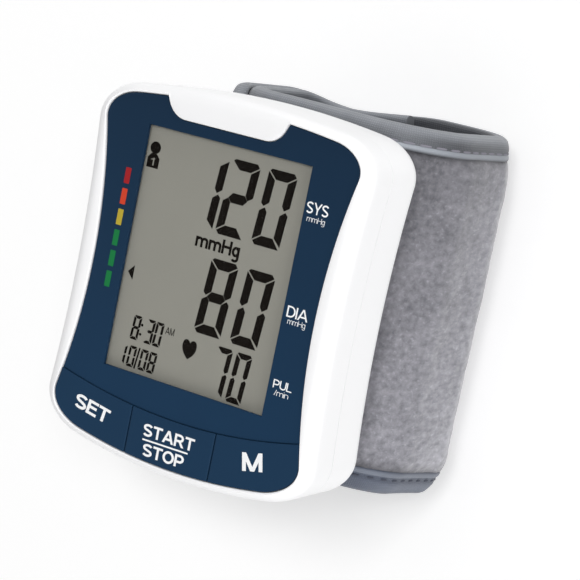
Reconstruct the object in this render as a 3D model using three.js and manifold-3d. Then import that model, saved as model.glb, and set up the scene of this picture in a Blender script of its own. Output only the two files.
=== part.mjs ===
// Wrist blood pressure monitor: a waisted white case with a navy front and three keys, carried by a
// fleece cuff that wraps on itself. Millimetres, +Y to the top of the display, +Z out of the display.
// It lies on the back of its cuff: z = 0 is the flat that it rests on.
import * as THREE from 'three';
import { mergeVertices } from 'three/addons/utils/BufferGeometryUtils.js';
import Module from 'manifold-3d';

// Fits
const FIT = 0.3; // clearance round a piece that drops in or slides
const SEAT = 0.1; // film of glue, solder or contact under a seated piece

// Case outline, from the display window outwards
const WINDOW_WIDTH = 40;
const WINDOW_HEIGHT = 51.6;
const WINDOW_SIDE = 12.5; // window to the side of the case at its waist
const WINDOW_ABOVE = 9.5; // window to the top of the case
const WINDOW_BELOW = 19.3; // window to the bottom of the case
const CASE_FLARE = 1.2; // how far each corner stands out past the waist
const TOP_BOW = 1.6;
const BOTTOM_BOW = 2.2;
const TOP_CORNER = 9;
const BOTTOM_CORNER = 10;

// Shells
const WALL = 1.8;
const FRONT_EDGE = 3; // rounding of the front rim
const BACK_EDGE = 4; // rounding of the back
const FRONT_DEPTH = 9; // front of the case to the parting line
const PART_GAP = 0.3;
const PART_CHAMFER = 0.25;
const LIP_HEIGHT = 1.2; // tongue of the rear shell inside the front one
const LIP_ROOT = 2.5;
const LIP_WALL = 0.8;
const PLATE = 1.8; // front plate under the panel

// Navy panel and the white tab that dips into it
const RIM_CORNER = 2.8;
const RIM_WAIST = 4.8;
const RIM_TOP = 2;
const RIM_BOTTOM = 2;
const PANEL_TOP_CORNER = 6.5;
const PANEL_BOTTOM_CORNER = 8;
const PANEL_FIT = 0.15;
const PANEL_DROP = 0.5;
const PANEL_THICKNESS = 0.8;
const TAB_TOP_WIDTH = 29.7;
const TAB_BOTTOM_WIDTH = 20.2;
const TAB_DEPTH = 4.9;
const TAB_X = -1.2;

// Keys and their switches
const KEY_ROW_DROP = 7.1; // window to the top of the middle key
const KEY_ROW_RISE = 3.7; // how far the row curves up at the panel's sides
const MIDDLE_KEY_WIDTH = 21.2;
const KEY_GAP = 0.4;
const KEY_PROUD = 0.3;
const KEY_THICKNESS = 1.8;
const KEY_TRAVEL = 0.8;
const KEY_FLOOR = 1.2;
const KEY_POCKET_WALL = 1.2;
const STEM_RADIUS = 1.6;
const SWITCH_SIDE = 5;
const SWITCH_DROP = 3.8; // top of the middle key to the switches' centres
const SIDE_SWITCH_INSET = 12.4; // side of the panel to the outer switches' centres
const SWITCH_FLOOR = 0.4;
const PLUNGER_RADIUS = 1.6;

// Display
const LENS_BORDER = 1.5; // flange of the lens under the panel
const LENS_FLANGE = 0.5;
const LENS_DROP = 0.1; // face of the lens below the panel's
const LCD_BORDER = 2.2;
const LCD_THICKNESS = 2.4;
const LCD_FRAME_WALL = 1.2;
const LCD_LEDGE = 1;
const STRIP_HEIGHT = 2.4;
const STRIP_WIDTH = 2;

// Board
const BOARD_THICKNESS = 1.2;
const BOARD_MARGIN = 1.2;
const CHIP_SIDE = 9;
const CHIP_THICKNESS = 0.7;

// Screws and their posts
const POST_RADIUS = 2.5;
const TOP_POST_INSET = 8.5; // top of the case to the upper posts
const BOTTOM_POST_INSET = 16;
const SCREW_RADIUS = 0.8;
const SCREW_HEAD_RADIUS = 1.6;
const SCREW_HEAD_HEIGHT = 1.3;
const SCREW_SINK = 1.2; // depth of the head under the back of the case

// Two AAA cells and what holds them
const CELL_RADIUS = 5.25;
const CELL_LENGTH = 44.5;
const CELL_NUB_RADIUS = 1.9;
const CELL_NUB_LENGTH = 1;
const CELLS_Y = 3.5;
const TRAY_WALL = 0.9;
const CONTACT = 0.4;
const CONTACT_SIDE = 8;
const SPRING_LENGTH = 3;
const SPRING_WIRE = 0.6;
const SPRING_WIDE = 3.6;
const SPRING_NARROW = 2.3;
const SPRING_TURNS = 2.5;
const DOOR_MARGIN = 1.5; // door past each end of the cells
const DOOR_RIB = 1.2;
const DOOR_RIB_SPACING = 28;
const DOOR_RIB_HEIGHT = 7;
const GRIP_COUNT = 3;
const GRIP_PITCH = 3;
const GRIP_WIDTH = 1;
const GRIP_PROUD = 0.5;
const GRIP_HEIGHT = 5;

// Air pump, valve, sensor and tubes
const PUMP_RADIUS = 5.3;
const MOTOR_LENGTH = 18;
const MOTOR_FLAT = 0.7; // cut off each side of the motor can
const HEAD_LENGTH = 10;
const PUMP_INSET = 14; // bottom of the case to the motor
const NOZZLE_RADIUS = 1;
const NOZZLE_LENGTH = 3;
const NOZZLE_SPACE = 1; // between two nozzles that share a tube
const TUBE_WALL = 0.6;
const TUBE_BEND = 5;
const MANIFOLD_RADIUS = 2.2;
const VALVE_SIDE = 9;
const VALVE_LENGTH = 10;
const VALVE_HEIGHT = 10;
const SENSOR_SIDE = 8;
const SENSOR_HEIGHT = 6;
const PART_SPACING = 1.4; // between parts side by side in the case

// Cuff
const LOOP_WIDTH = 61;
const LOOP_DEPTH = 48.2;
const LOOP_X = 5.7; // the loop sits to one side of the case
const LOOP_FRONT_RADIUS = 18;
const LOOP_BACK_RADIUS = 16;
const CUFF_WIDTH = 82.3;
const CUFF_Y = 0.05;
const CUFF_BOTTOM_LIFT = 4.6; // the lower edge rises from the back of the cuff to its front
const CUFF_BACK_SAG = 2.4; // the upper edge dips across the back
const SAG_X = -9;
const SAG_REACH = 24;
const TOP_DRAW = 2.2; // how far each edge is drawn in, and over what height
const TOP_DRAW_HEIGHT = 13;
const BOTTOM_DRAW = 3.2;
const BOTTOM_DRAW_HEIGHT = 7;
const BINDING_HEIGHT = 4.8;
const BINDING_ROUND = 0.9;
const SLEEVE = 2.2;
const LINING = 1;
const STIFFENER = 0.8;
const BLADDER = 2.4;
const WRAP_GAP = 1.2; // hook and loop between the laps
const INNER_END_X = 7; // where the inner lap ends, on the back
const END_SPACE = 3;
const PAD_SLOPE = 9; // width of the sloping edge of the padding
const PAD_RAMP = 12; // length over which the padding runs out
const BLADDER_INSET = 4.9; // from the seams, where the cuff is narrowest
const STIFFENER_INSET = 3.4;
const BLADDER_NOZZLE_Y = -7.2;
const POST_PEG_RADIUS = 1.5;
const PEG_SPACING_X = 7;
const PEG_SPACING_Y = 40;
const HINGE_GAP = 0.4;
const FLAP_ARC = Math.PI / 4;
const FLAP_CORNER = 5;
const HOOK = 0.6;
const HOOK_WIDTH = 46;
const HOOK_MARGIN = 4;

// Facets
const CURVE_STEPS = 8;
const EDGE_STEPS = 5;
const ROW_STEPS = 16;
const ROUND_SIDES = 16;
const TUBE_SIDES = 8;
const CUFF_STEP = 3;
const OVERRUN = 1; // how far a cut runs past the face that it opens

// Sizes that follow from those above
const CASE_WAIST = WINDOW_WIDTH + 2 * WINDOW_SIDE;
const CASE_WIDTH = CASE_WAIST + 2 * CASE_FLARE;
const CASE_HEIGHT = WINDOW_ABOVE + WINDOW_HEIGHT + WINDOW_BELOW;
const CASE_TOP = CASE_HEIGHT / 2;
const CASE_BOTTOM = -CASE_HEIGHT / 2;
const WINDOW_Y = CASE_TOP - WINDOW_ABOVE - WINDOW_HEIGHT / 2;
const PANEL_WIDTH = CASE_WIDTH - 2 * RIM_CORNER;
const SIDE_SWITCH_X = PANEL_WIDTH / 2 - SIDE_SWITCH_INSET;

// Heights in the case, down from the front of its rim at 0
const PANEL_TOP = -PANEL_DROP;
const PANEL_UNDER = PANEL_TOP - PANEL_THICKNESS;
const PLATE_TOP = PANEL_UNDER - SEAT;
const PLATE_UNDER = PLATE_TOP - PLATE;
const LENS_UNDER = PLATE_TOP - LENS_FLANGE;
const LCD_TOP = LENS_UNDER - SEAT;
const LCD_UNDER = LCD_TOP - LCD_THICKNESS;
const BOARD_TOP = LCD_UNDER - STRIP_HEIGHT - 2 * SEAT;
const BOARD_UNDER = BOARD_TOP - BOARD_THICKNESS;
const KEY_TOP = PANEL_TOP + KEY_PROUD;
const KEY_UNDER = KEY_TOP - KEY_THICKNESS;
const KEY_FLOOR_TOP = KEY_UNDER - KEY_TRAVEL - FIT;
const KEY_FLOOR_UNDER = KEY_FLOOR_TOP - KEY_FLOOR;
const TRAY_ROOF_UNDER = BOARD_UNDER - 2 * SEAT - TRAY_WALL;
const CELL_Z = TRAY_ROOF_UNDER - FIT - CELL_RADIUS;
const REAR_FLOOR = CELL_Z - CELL_RADIUS - FIT;
const CASE_BACK = REAR_FLOOR - WALL;
const REAR_TOP = -FRONT_DEPTH - PART_GAP;
const CASE_FRONT_Z = LOOP_DEPTH + FIT - CASE_BACK; // front of the case above the ground

// Places across the case
const LIP_INNER = WALL + FIT + LIP_WALL;
const POST_X = CASE_WAIST / 2 - LIP_INNER - FIT - POST_RADIUS;
const UPPER_POST_Y = CASE_TOP - TOP_POST_INSET;
const LOWER_POST_Y = CASE_BOTTOM + BOTTOM_POST_INSET;
const KEY_ROW_Y = CASE_BOTTOM + WINDOW_BELOW - KEY_ROW_DROP;
const SWITCH_Y = KEY_ROW_Y - SWITCH_DROP;
const TRAY_LEFT = FIT + POST_RADIUS - POST_X;
const CELL_1_X = TRAY_LEFT + FIT + CELL_RADIUS;
const CELL_2_X = CELL_1_X + 2 * CELL_RADIUS + FIT;
const TRAY_RIGHT = CELL_2_X + CELL_RADIUS + FIT + TRAY_WALL;
const SENSOR_X = TRAY_RIGHT + PART_SPACING + SENSOR_SIDE / 2;
const PUMP_X = SENSOR_X + SENSOR_SIDE / 2 + PART_SPACING + PUMP_RADIUS;

const wasm = await Module();
wasm.setup();

// Materials
function finish(color, roughness, metalness = 0) {
  return new THREE.MeshStandardMaterial({ color, roughness, metalness });
}
const WHITE_ABS = finish(0xf2f2f0, 0.42);
const NAVY_PLASTIC = finish(0x22364f, 0.4);
const CLEAR_PLASTIC = finish(0xdfe6e6, 0.08);
const LCD_GREY = finish(0x8c8b82, 0.3);
const DARK_PLASTIC = finish(0x2a2b2e, 0.5);
const BOARD_GREEN = finish(0x1f5a3c, 0.55);
const BRIGHT_STEEL = finish(0xb9bcc0, 0.3, 1);
const CELL_JACKET = finish(0x3d4a57, 0.4);
const SILICONE = finish(0xd9dcda, 0.5);
const GREY_RUBBER = finish(0x4c4d50, 0.8);
const GREY_FLEECE = finish(0x8d8c91, 0.95);
const WOVEN_TAPE = finish(0x7f868f, 0.75);
const SMOOTH_LINING = finish(0xa9afb6, 0.8);
const BLADDER_FILM = finish(0xc9ccd0, 0.5);
const STIFF_SHEET = finish(0xe3e3de, 0.5);

// A closed geometry as a solid that can be cut and joined.
function solid(geometry) {
  const bare = geometry.clone();
  bare.deleteAttribute('normal');
  bare.deleteAttribute('uv');
  const merged = mergeVertices(bare);
  return new wasm.Manifold(new wasm.Mesh({
    numProp: 3,
    vertProperties: merged.attributes.position.array,
    triVerts: new Uint32Array(merged.index.array),
  }));
}

// A cut solid as geometry again.
function shown(cut) {
  const { vertProperties, triVerts } = cut.getMesh();
  const geometry = new THREE.BufferGeometry();
  geometry.setAttribute('position', new THREE.BufferAttribute(vertProperties, 3));
  geometry.setIndex(new THREE.BufferAttribute(triVerts, 1));
  return geometry;
}

// A named piece of the object, flat shaded.
function piece(name, form, material) {
  const geometry = form.isBufferGeometry ? form : shown(form);
  const loose = geometry.index ? geometry.toNonIndexed() : geometry;
  loose.computeVertexNormals();
  const mesh = new THREE.Mesh(loose, material);
  mesh.name = name;
  return mesh;
}

// A closed skin through rings of points, which turn anticlockwise seen from the end that they run to.
function skin(rings, firstCap, lastCap) {
  const count = rings[0].length;
  const faces = [];
  for (let ring = 0; ring + 1 < rings.length; ring++) {
    for (let i = 0; i < count; i++) {
      const a = ring * count + i;
      const b = ring * count + ((i + 1) % count);
      faces.push(a, b, b + count, a, b + count, a + count);
    }
  }
  const last = (rings.length - 1) * count;
  firstCap.forEach(([a, b, c]) => faces.push(a, c, b));
  lastCap.forEach(([a, b, c]) => faces.push(last + a, last + b, last + c));
  const geometry = new THREE.BufferGeometry();
  geometry.setFromPoints(rings.flat());
  geometry.setIndex(faces);
  return geometry;
}

// A block between pairs of limits on each axis.
function block([x0, x1], [y0, y1], [z0, z1]) {
  const box = new THREE.BoxGeometry(x1 - x0, y1 - y0, z1 - z0);
  box.translate((x0 + x1) / 2, (y0 + y1) / 2, (z0 + z1) / 2);
  return solid(box);
}

// A round rod from one point to another.
function rod(radius, from, to, sides = ROUND_SIDES) {
  const start = new THREE.Vector3(...from);
  const along = new THREE.Vector3(...to).sub(start);
  const length = along.length();
  const geometry = new THREE.CylinderGeometry(radius, radius, length, sides);
  geometry.translate(0, length / 2, 0);
  const turn = new THREE.Quaternion().setFromUnitVectors(new THREE.Vector3(0, 1, 0), along.normalize());
  geometry.applyQuaternion(turn);
  geometry.translate(start.x, start.y, start.z);
  return solid(geometry);
}

// An outline moved inwards. Outlines turn anticlockwise.
function inset(outline, distance) {
  return outline.map((point, i) => {
    const before = outline.at(i - 1);
    const after = outline[(i + 1) % outline.length];
    const along = after.clone().sub(before).normalize();
    return new THREE.Vector2(point.x - along.y * distance, point.y + along.x * distance);
  });
}

// A body whose outline is inset by a distance at each height, from the lowest up.
function loft(outline, levels) {
  const rings = levels.map(([distance, z]) => (
    inset(outline, distance).map((point) => new THREE.Vector3(point.x, point.y, z))
  ));
  const cap = THREE.ShapeUtils.triangulateShape(outline, []);
  return solid(skin(rings, cap, cap));
}

// A straight body with an outline.
function prism(outline, low, high) {
  const options = { depth: high - low, bevelEnabled: false };
  return solid(new THREE.ExtrudeGeometry(new THREE.Shape(outline), options).translate(0, 0, low));
}

// Levels of a quarter round, from the side wall to the flat that it ends in.
function rounding(radius, wallEnd, turn) {
  const levels = [];
  for (let i = 0; i <= EDGE_STEPS; i++) {
    const angle = (i / EDGE_STEPS) * (Math.PI / 2);
    levels.push([radius * (1 - Math.cos(angle)), wallEnd + turn * radius * Math.sin(angle)]);
  }
  return levels;
}

// A closed outline from its right half, which runs from the bottom middle to the top middle.
function mirrored(rightHalf, middle = 0) {
  const right = rightHalf.getPoints(CURVE_STEPS);
  const left = right.slice(1, -1).reverse();
  return right.concat(left.map((point) => new THREE.Vector2(2 * middle - point.x, point.y)));
}

// An outline that is bowed at the top and bottom and drawn in at the waist.
function waistedOutline({ width, waist, top, bottom, topCorner, bottomCorner }) {
  const cornerPull = 0.55; // handle of a cubic that draws a quarter round
  const middleShare = 0.75; // how far a cubic's middle follows its handles
  const half = width / 2;
  const waistPull = (width - waist) / 2 / middleShare;
  const lowEnd = new THREE.Vector2(half - bottomCorner, bottom + BOTTOM_BOW);
  const sideLow = new THREE.Vector2(half, bottom + BOTTOM_BOW + bottomCorner);
  const sideHigh = new THREE.Vector2(half, top - TOP_BOW - topCorner);
  const highEnd = new THREE.Vector2(half - topCorner, top - TOP_BOW);
  const third = (sideHigh.y - sideLow.y) / 3;
  const handle = (x, y, corner) => new THREE.Vector2(x, y).setLength(cornerPull * corner);
  const lowOut = handle(lowEnd.x / 2, BOTTOM_BOW, bottomCorner).add(lowEnd);
  const lowIn = handle(waistPull, -third, bottomCorner).add(sideLow);
  const highOut = handle(waistPull, third, topCorner).add(sideHigh);
  const highIn = handle(highEnd.x / 2, -TOP_BOW, topCorner).add(highEnd);
  const right = new THREE.Path();
  right.moveTo(0, bottom);
  right.quadraticCurveTo(lowEnd.x / 2, bottom, lowEnd.x, lowEnd.y);
  right.bezierCurveTo(lowOut.x, lowOut.y, lowIn.x, lowIn.y, sideLow.x, sideLow.y);
  right.bezierCurveTo(
    half - waistPull, sideLow.y + third, half - waistPull, sideHigh.y - third, sideHigh.x, sideHigh.y,
  );
  right.bezierCurveTo(highOut.x, highOut.y, highIn.x, highIn.y, highEnd.x, highEnd.y);
  right.quadraticCurveTo(highEnd.x / 2, top, 0, top);
  return mirrored(right);
}

const caseOutline = waistedOutline({
  width: CASE_WIDTH,
  waist: CASE_WAIST,
  top: CASE_TOP,
  bottom: CASE_BOTTOM,
  topCorner: TOP_CORNER,
  bottomCorner: BOTTOM_CORNER,
});

const recessOutline = waistedOutline({
  width: PANEL_WIDTH,
  waist: CASE_WAIST - 2 * RIM_WAIST,
  top: CASE_TOP - RIM_TOP,
  bottom: CASE_BOTTOM + RIM_BOTTOM,
  topCorner: PANEL_TOP_CORNER,
  bottomCorner: PANEL_BOTTOM_CORNER,
});

// The tab hangs from the rim, with round shoulders down to its straight lower edge.
function tabOutline(grow) {
  const roundPull = 0.55;
  const low = CASE_TOP - RIM_TOP - TAB_DEPTH - grow;
  const high = CASE_TOP - RIM_TOP;
  const foot = TAB_X + TAB_BOTTOM_WIDTH / 2;
  const shoulder = TAB_X + TAB_TOP_WIDTH / 2 + grow;
  const right = new THREE.Path();
  right.moveTo(TAB_X, low);
  right.lineTo(foot, low);
  right.bezierCurveTo(
    foot + roundPull * (shoulder - foot), low, shoulder, high - roundPull * (high - low), shoulder, high,
  );
  right.lineTo(shoulder, CASE_TOP);
  right.lineTo(TAB_X, CASE_TOP);
  return mirrored(right, TAB_X);
}

// Everything below the curved upper edge of the key row, moved up by a rise.
function belowKeyRow(rise) {
  const points = [new THREE.Vector2(-CASE_WIDTH, -CASE_HEIGHT), new THREE.Vector2(CASE_WIDTH, -CASE_HEIGHT)];
  for (let i = 0; i <= ROW_STEPS; i++) {
    const x = CASE_WIDTH * (0.5 - i / ROW_STEPS);
    const share = x / (PANEL_WIDTH / 2);
    points.push(new THREE.Vector2(x, KEY_ROW_Y + KEY_ROW_RISE * share * share + rise));
  }
  return points;
}

// A rectangle centred on the window, larger than it by a border, between two heights.
function windowBlock(border, low, high) {
  const halfWidth = WINDOW_WIDTH / 2 + border;
  const halfHeight = WINDOW_HEIGHT / 2 + border;
  return block([-halfWidth, halfWidth], [WINDOW_Y - halfHeight, WINDOW_Y + halfHeight], [low, high]);
}

const posts = [
  [-POST_X, UPPER_POST_Y],
  [POST_X, UPPER_POST_Y],
  [-POST_X, LOWER_POST_Y],
  [POST_X, LOWER_POST_Y],
];
const keys = [
  { name: 'set', x: -SIDE_SWITCH_X, from: -CASE_WIDTH, to: -MIDDLE_KEY_WIDTH / 2 },
  { name: 'start', x: 0, from: -MIDDLE_KEY_WIDTH / 2, to: MIDDLE_KEY_WIDTH / 2 },
  { name: 'memory', x: SIDE_SWITCH_X, from: MIDDLE_KEY_WIDTH / 2, to: CASE_WIDTH },
];
const SCREW_SEAT_Z = CASE_BACK + SCREW_SINK + SCREW_HEAD_HEIGHT + SEAT;
const SCREW_TIP_Z = KEY_FLOOR_UNDER - FIT;

const monitor = new THREE.Group();
const caseGroup = new THREE.Group();
caseGroup.position.z = CASE_FRONT_Z;
const cuffGroup = new THREE.Group();
cuffGroup.position.y = CUFF_Y;
monitor.add(caseGroup, cuffGroup);

// Front shell: a tray with a round rim, a recess for the panel, a pocket for the keys and screw bosses.
function frontShell() {
  const outer = loft(caseOutline, [
    [PART_CHAMFER, -FRONT_DEPTH],
    [0, PART_CHAMFER - FRONT_DEPTH],
    ...rounding(FRONT_EDGE, -FRONT_EDGE, 1),
  ]);
  const pocketFloor = prism(inset(recessOutline, -KEY_POCKET_WALL), KEY_FLOOR_UNDER, PLATE_UNDER + OVERRUN)
    .intersect(prism(belowKeyRow(KEY_POCKET_WALL), KEY_FLOOR_UNDER, PLATE_UNDER + OVERRUN));
  const hollow = prism(inset(caseOutline, WALL), -FRONT_DEPTH - OVERRUN, PLATE_UNDER).subtract(pocketFloor);
  let shell = outer.subtract(hollow);
  for (const [x, y] of posts) {
    shell = shell.add(rod(POST_RADIUS, [x, y, -FRONT_DEPTH], [x, y, PLATE_UNDER + PLATE / 2]));
  }
  for (const [x, y] of posts) {
    shell = shell.subtract(rod(SCREW_RADIUS + FIT, [x, y, -FRONT_DEPTH - OVERRUN], [x, y, SCREW_TIP_Z + FIT]));
  }
  const panelRecess = prism(recessOutline, PLATE_TOP, OVERRUN).subtract(
    prism(tabOutline(0), PLATE_TOP - OVERRUN, 2 * OVERRUN),
  );
  const keyPocket = prism(recessOutline, KEY_FLOOR_TOP, OVERRUN)
    .intersect(prism(belowKeyRow(KEY_GAP / 2), KEY_FLOOR_TOP, OVERRUN));
  shell = shell.subtract(panelRecess).subtract(keyPocket);
  shell = shell.subtract(windowBlock(LCD_BORDER + FIT, PLATE_UNDER - OVERRUN, PLATE_TOP + OVERRUN));
  for (const { x } of keys) {
    const hole = rod(STEM_RADIUS + FIT, [x, SWITCH_Y, KEY_FLOOR_UNDER - OVERRUN], [x, SWITCH_Y, 0]);
    shell = shell.subtract(hole);
  }
  return shell;
}
caseGroup.add(piece('front_shell', frontShell(), WHITE_ABS));

// Rear half of the case before anything is cut in it: the outside, and the wall that it leaves.
const rearOutside = loft(caseOutline, [
  ...rounding(BACK_EDGE, CASE_BACK + BACK_EDGE, -1).reverse(),
  [0, REAR_TOP - PART_CHAMFER],
  [PART_CHAMFER, REAR_TOP],
]);
const rearHollow = prism(inset(caseOutline, WALL), REAR_FLOOR, OVERRUN);
const rearWalls = rearOutside.subtract(rearHollow);

// The doorway in the left wall, with a clearance all round it.
function doorway(clearance) {
  const half = CELL_LENGTH / 2 + DOOR_MARGIN + clearance;
  return block(
    [-CASE_WIDTH, LIP_INNER + FIT - CASE_WAIST / 2],
    [CELLS_Y - half, CELLS_Y + half],
    [REAR_FLOOR - clearance, OVERRUN],
  );
}

const BLADDER_NOZZLE_RADIUS = NOZZLE_RADIUS;
const loopLeft = LOOP_X - LOOP_WIDTH / 2;
const loopRight = LOOP_X + LOOP_WIDTH / 2;
const frontEnd = loopRight - LOOP_FRONT_RADIUS; // right end of the cuff's straight front
const pegs = [];
for (const x of [frontEnd - PEG_SPACING_X, frontEnd]) {
  for (const side of [-1, 1]) {
    pegs.push([x, (side * PEG_SPACING_Y) / 2]);
  }
}

// Rear shell: a tray with a tongue round its edge, four screw posts, saddles for the pump and a doorway.
function rearShell() {
  const tongueFoot = prism(inset(caseOutline, WALL / 2), REAR_TOP - LIP_ROOT, REAR_TOP);
  const tongue = prism(inset(caseOutline, WALL + FIT), REAR_TOP - LIP_ROOT, LIP_HEIGHT - FRONT_DEPTH);
  const tongueHole = prism(inset(caseOutline, LIP_INNER), REAR_TOP - LIP_ROOT - OVERRUN, 0);
  let shell = rearWalls.add(tongueFoot.add(tongue).subtract(tongueHole));
  for (const [x, y] of posts) {
    shell = shell.add(rod(POST_RADIUS, [x, y, REAR_FLOOR - WALL / 2], [x, y, REAR_TOP]));
  }
  shell = shell.add(pumpSaddles());
  shell = shell.subtract(doorway(0));
  for (const [x, y] of posts) {
    shell = shell.subtract(rod(SCREW_RADIUS + FIT, [x, y, CASE_BACK - OVERRUN], [x, y, 0]));
    const sink = rod(SCREW_HEAD_RADIUS + FIT, [x, y, CASE_BACK - OVERRUN], [x, y, SCREW_SEAT_Z]);
    shell = shell.subtract(sink);
  }
  for (const [x, y] of pegs) {
    const low = [x, y + CUFF_Y, CASE_BACK - OVERRUN];
    shell = shell.subtract(rod(POST_PEG_RADIUS + FIT, low, [x, y + CUFF_Y, REAR_FLOOR + OVERRUN]));
  }
  const nozzleY = BLADDER_NOZZLE_Y + CUFF_Y;
  return shell.subtract(rod(
    BLADDER_NOZZLE_RADIUS + FIT,
    [SENSOR_X, nozzleY, CASE_BACK - OVERRUN],
    [SENSOR_X, nozzleY, REAR_FLOOR + OVERRUN],
  ));
}

const PUMP_Z = REAR_FLOOR + FIT + PUMP_RADIUS;
const MOTOR_FOOT_Y = CASE_BOTTOM + PUMP_INSET;
const MOTOR_TOP_Y = MOTOR_FOOT_Y + MOTOR_LENGTH;
const HEAD_TOP_Y = MOTOR_TOP_Y + SEAT + HEAD_LENGTH;

// Two ribs across the floor, hollowed to carry the motor can.
function pumpSaddles() {
  const saddleReach = PUMP_RADIUS + WALL;
  const trough = rod(PUMP_RADIUS + FIT, [PUMP_X, MOTOR_FOOT_Y, PUMP_Z], [PUMP_X, MOTOR_TOP_Y, PUMP_Z]);
  const ribs = [0.25, 0.75].map((share) => {
    const y = MOTOR_FOOT_Y + share * MOTOR_LENGTH;
    return block(
      [PUMP_X - saddleReach, PUMP_X + saddleReach],
      [y - WALL / 2, y + WALL / 2],
      [REAR_FLOOR - WALL / 2, PUMP_Z - PUMP_RADIUS / 2],
    );
  });
  return ribs[0].add(ribs[1]).subtract(trough);
}
caseGroup.add(piece('rear_shell', rearShell(), WHITE_ABS));

// Battery door: the left wall itself, with two ribs that hold the cells and grip ridges outside.
function batteryDoor() {
  let door = rearWalls.intersect(doorway(-FIT));
  const wallMiddle = WALL / 2 - CASE_WAIST / 2;
  for (const side of [-1, 1]) {
    const y = CELLS_Y + (side * DOOR_RIB_SPACING) / 2;
    door = door.add(block(
      [wallMiddle, CELL_1_X - CELL_RADIUS - FIT],
      [y - DOOR_RIB / 2, y + DOOR_RIB / 2],
      [CELL_Z - DOOR_RIB_HEIGHT / 2, CELL_Z + DOOR_RIB_HEIGHT / 2],
    ));
  }
  for (let i = 0; i < GRIP_COUNT; i++) {
    const y = CELLS_Y + (i - (GRIP_COUNT - 1) / 2) * GRIP_PITCH;
    door = door.add(block(
      [-CASE_WAIST / 2 - GRIP_PROUD, wallMiddle],
      [y - GRIP_WIDTH / 2, y + GRIP_WIDTH / 2],
      [CELL_Z - GRIP_HEIGHT / 2, CELL_Z + GRIP_HEIGHT / 2],
    ));
  }
  return door;
}
caseGroup.add(piece('battery_door', batteryDoor(), WHITE_ABS));

// Screws, driven from the back into the front shell's bosses.
function caseScrew() {
  const profile = [
    [0, SCREW_SEAT_Z - SEAT - SCREW_HEAD_HEIGHT],
    [SCREW_HEAD_RADIUS, SCREW_SEAT_Z - SEAT - SCREW_HEAD_HEIGHT],
    [SCREW_HEAD_RADIUS, SCREW_SEAT_Z - SEAT],
    [SCREW_RADIUS, SCREW_SEAT_Z - SEAT],
    [SCREW_RADIUS, SCREW_TIP_Z - SCREW_RADIUS],
    [0, SCREW_TIP_Z],
  ];
  const points = profile.map(([radius, z]) => new THREE.Vector2(radius, z));
  return new THREE.LatheGeometry(points, ROUND_SIDES).rotateX(Math.PI / 2);
}
posts.forEach(([x, y], i) => {
  const screw = piece(`case_screw_${i + 1}`, shown(solid(caseScrew())), BRIGHT_STEEL);
  screw.position.set(x, y, 0);
  caseGroup.add(screw);
});

// Navy panel, cut off above the keys, with the window and a notch for the tab.
function frontPanel() {
  const below = prism(belowKeyRow(KEY_GAP / 2), PANEL_UNDER - OVERRUN, OVERRUN);
  return prism(inset(recessOutline, PANEL_FIT), PANEL_UNDER, PANEL_TOP)
    .subtract(below)
    .subtract(prism(tabOutline(PANEL_FIT), PANEL_UNDER - OVERRUN, OVERRUN))
    .subtract(windowBlock(0, PANEL_UNDER - OVERRUN, OVERRUN));
}
caseGroup.add(piece('front_panel', frontPanel(), NAVY_PLASTIC));

// Display: the lens, which fills the window and is glued under the panel by its flange, the glass in its
// frame, and the strips that feed it.
const lens = windowBlock(LENS_BORDER, LENS_UNDER, PLATE_TOP)
  .add(windowBlock(-PANEL_FIT, PLATE_TOP - LENS_FLANGE / 2, PANEL_TOP - LENS_DROP));
caseGroup.add(piece('display_lens', lens, CLEAR_PLASTIC));
caseGroup.add(piece('lcd_glass', windowBlock(LCD_BORDER, LCD_UNDER, LCD_TOP), LCD_GREY));

const LCD_FRAME_BORDER = LCD_BORDER + FIT + LCD_FRAME_WALL;
function lcdFrame() {
  return windowBlock(LCD_FRAME_BORDER, BOARD_TOP + SEAT, PLATE_UNDER - SEAT)
    .subtract(windowBlock(LCD_BORDER + FIT, LCD_UNDER - SEAT, LCD_TOP + OVERRUN))
    .subtract(windowBlock(LCD_BORDER - LCD_LEDGE, BOARD_TOP - OVERRUN, LCD_TOP));
}
caseGroup.add(piece('lcd_frame', lcdFrame(), DARK_PLASTIC));

for (const [name, side] of [['contact_strip_upper', 1], ['contact_strip_lower', -1]]) {
  const outer = WINDOW_HEIGHT / 2 + LCD_BORDER - LCD_LEDGE - FIT;
  const edges = [WINDOW_Y + side * outer, WINDOW_Y + side * (outer - STRIP_WIDTH)];
  const strip = block(
    [-WINDOW_WIDTH / 2, WINDOW_WIDTH / 2],
    edges.sort((a, b) => a - b),
    [BOARD_TOP + SEAT, LCD_UNDER - SEAT],
  );
  caseGroup.add(piece(name, strip, GREY_RUBBER));
}

// Board, cut back from the tongue of the rear shell, with its controller under the display.
function mainBoard() {
  const half = WINDOW_WIDTH / 2 + LCD_FRAME_BORDER;
  const edge = inset(caseOutline, LIP_INNER + FIT);
  return prism(edge, BOARD_UNDER, BOARD_TOP).intersect(block(
    [-half, half],
    [SWITCH_Y - SWITCH_SIDE / 2 - BOARD_MARGIN, WINDOW_Y + WINDOW_HEIGHT / 2 + LCD_FRAME_BORDER],
    [BOARD_UNDER - OVERRUN, BOARD_TOP + OVERRUN],
  ));
}
caseGroup.add(piece('main_board', mainBoard(), BOARD_GREEN));
caseGroup.add(piece('controller_chip', block(
  [-CHIP_SIDE / 2, CHIP_SIDE / 2],
  [WINDOW_Y - CHIP_SIDE / 2, WINDOW_Y + CHIP_SIDE / 2],
  [BOARD_TOP + SEAT, BOARD_TOP + SEAT + CHIP_THICKNESS],
), DARK_PLASTIC));

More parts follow.
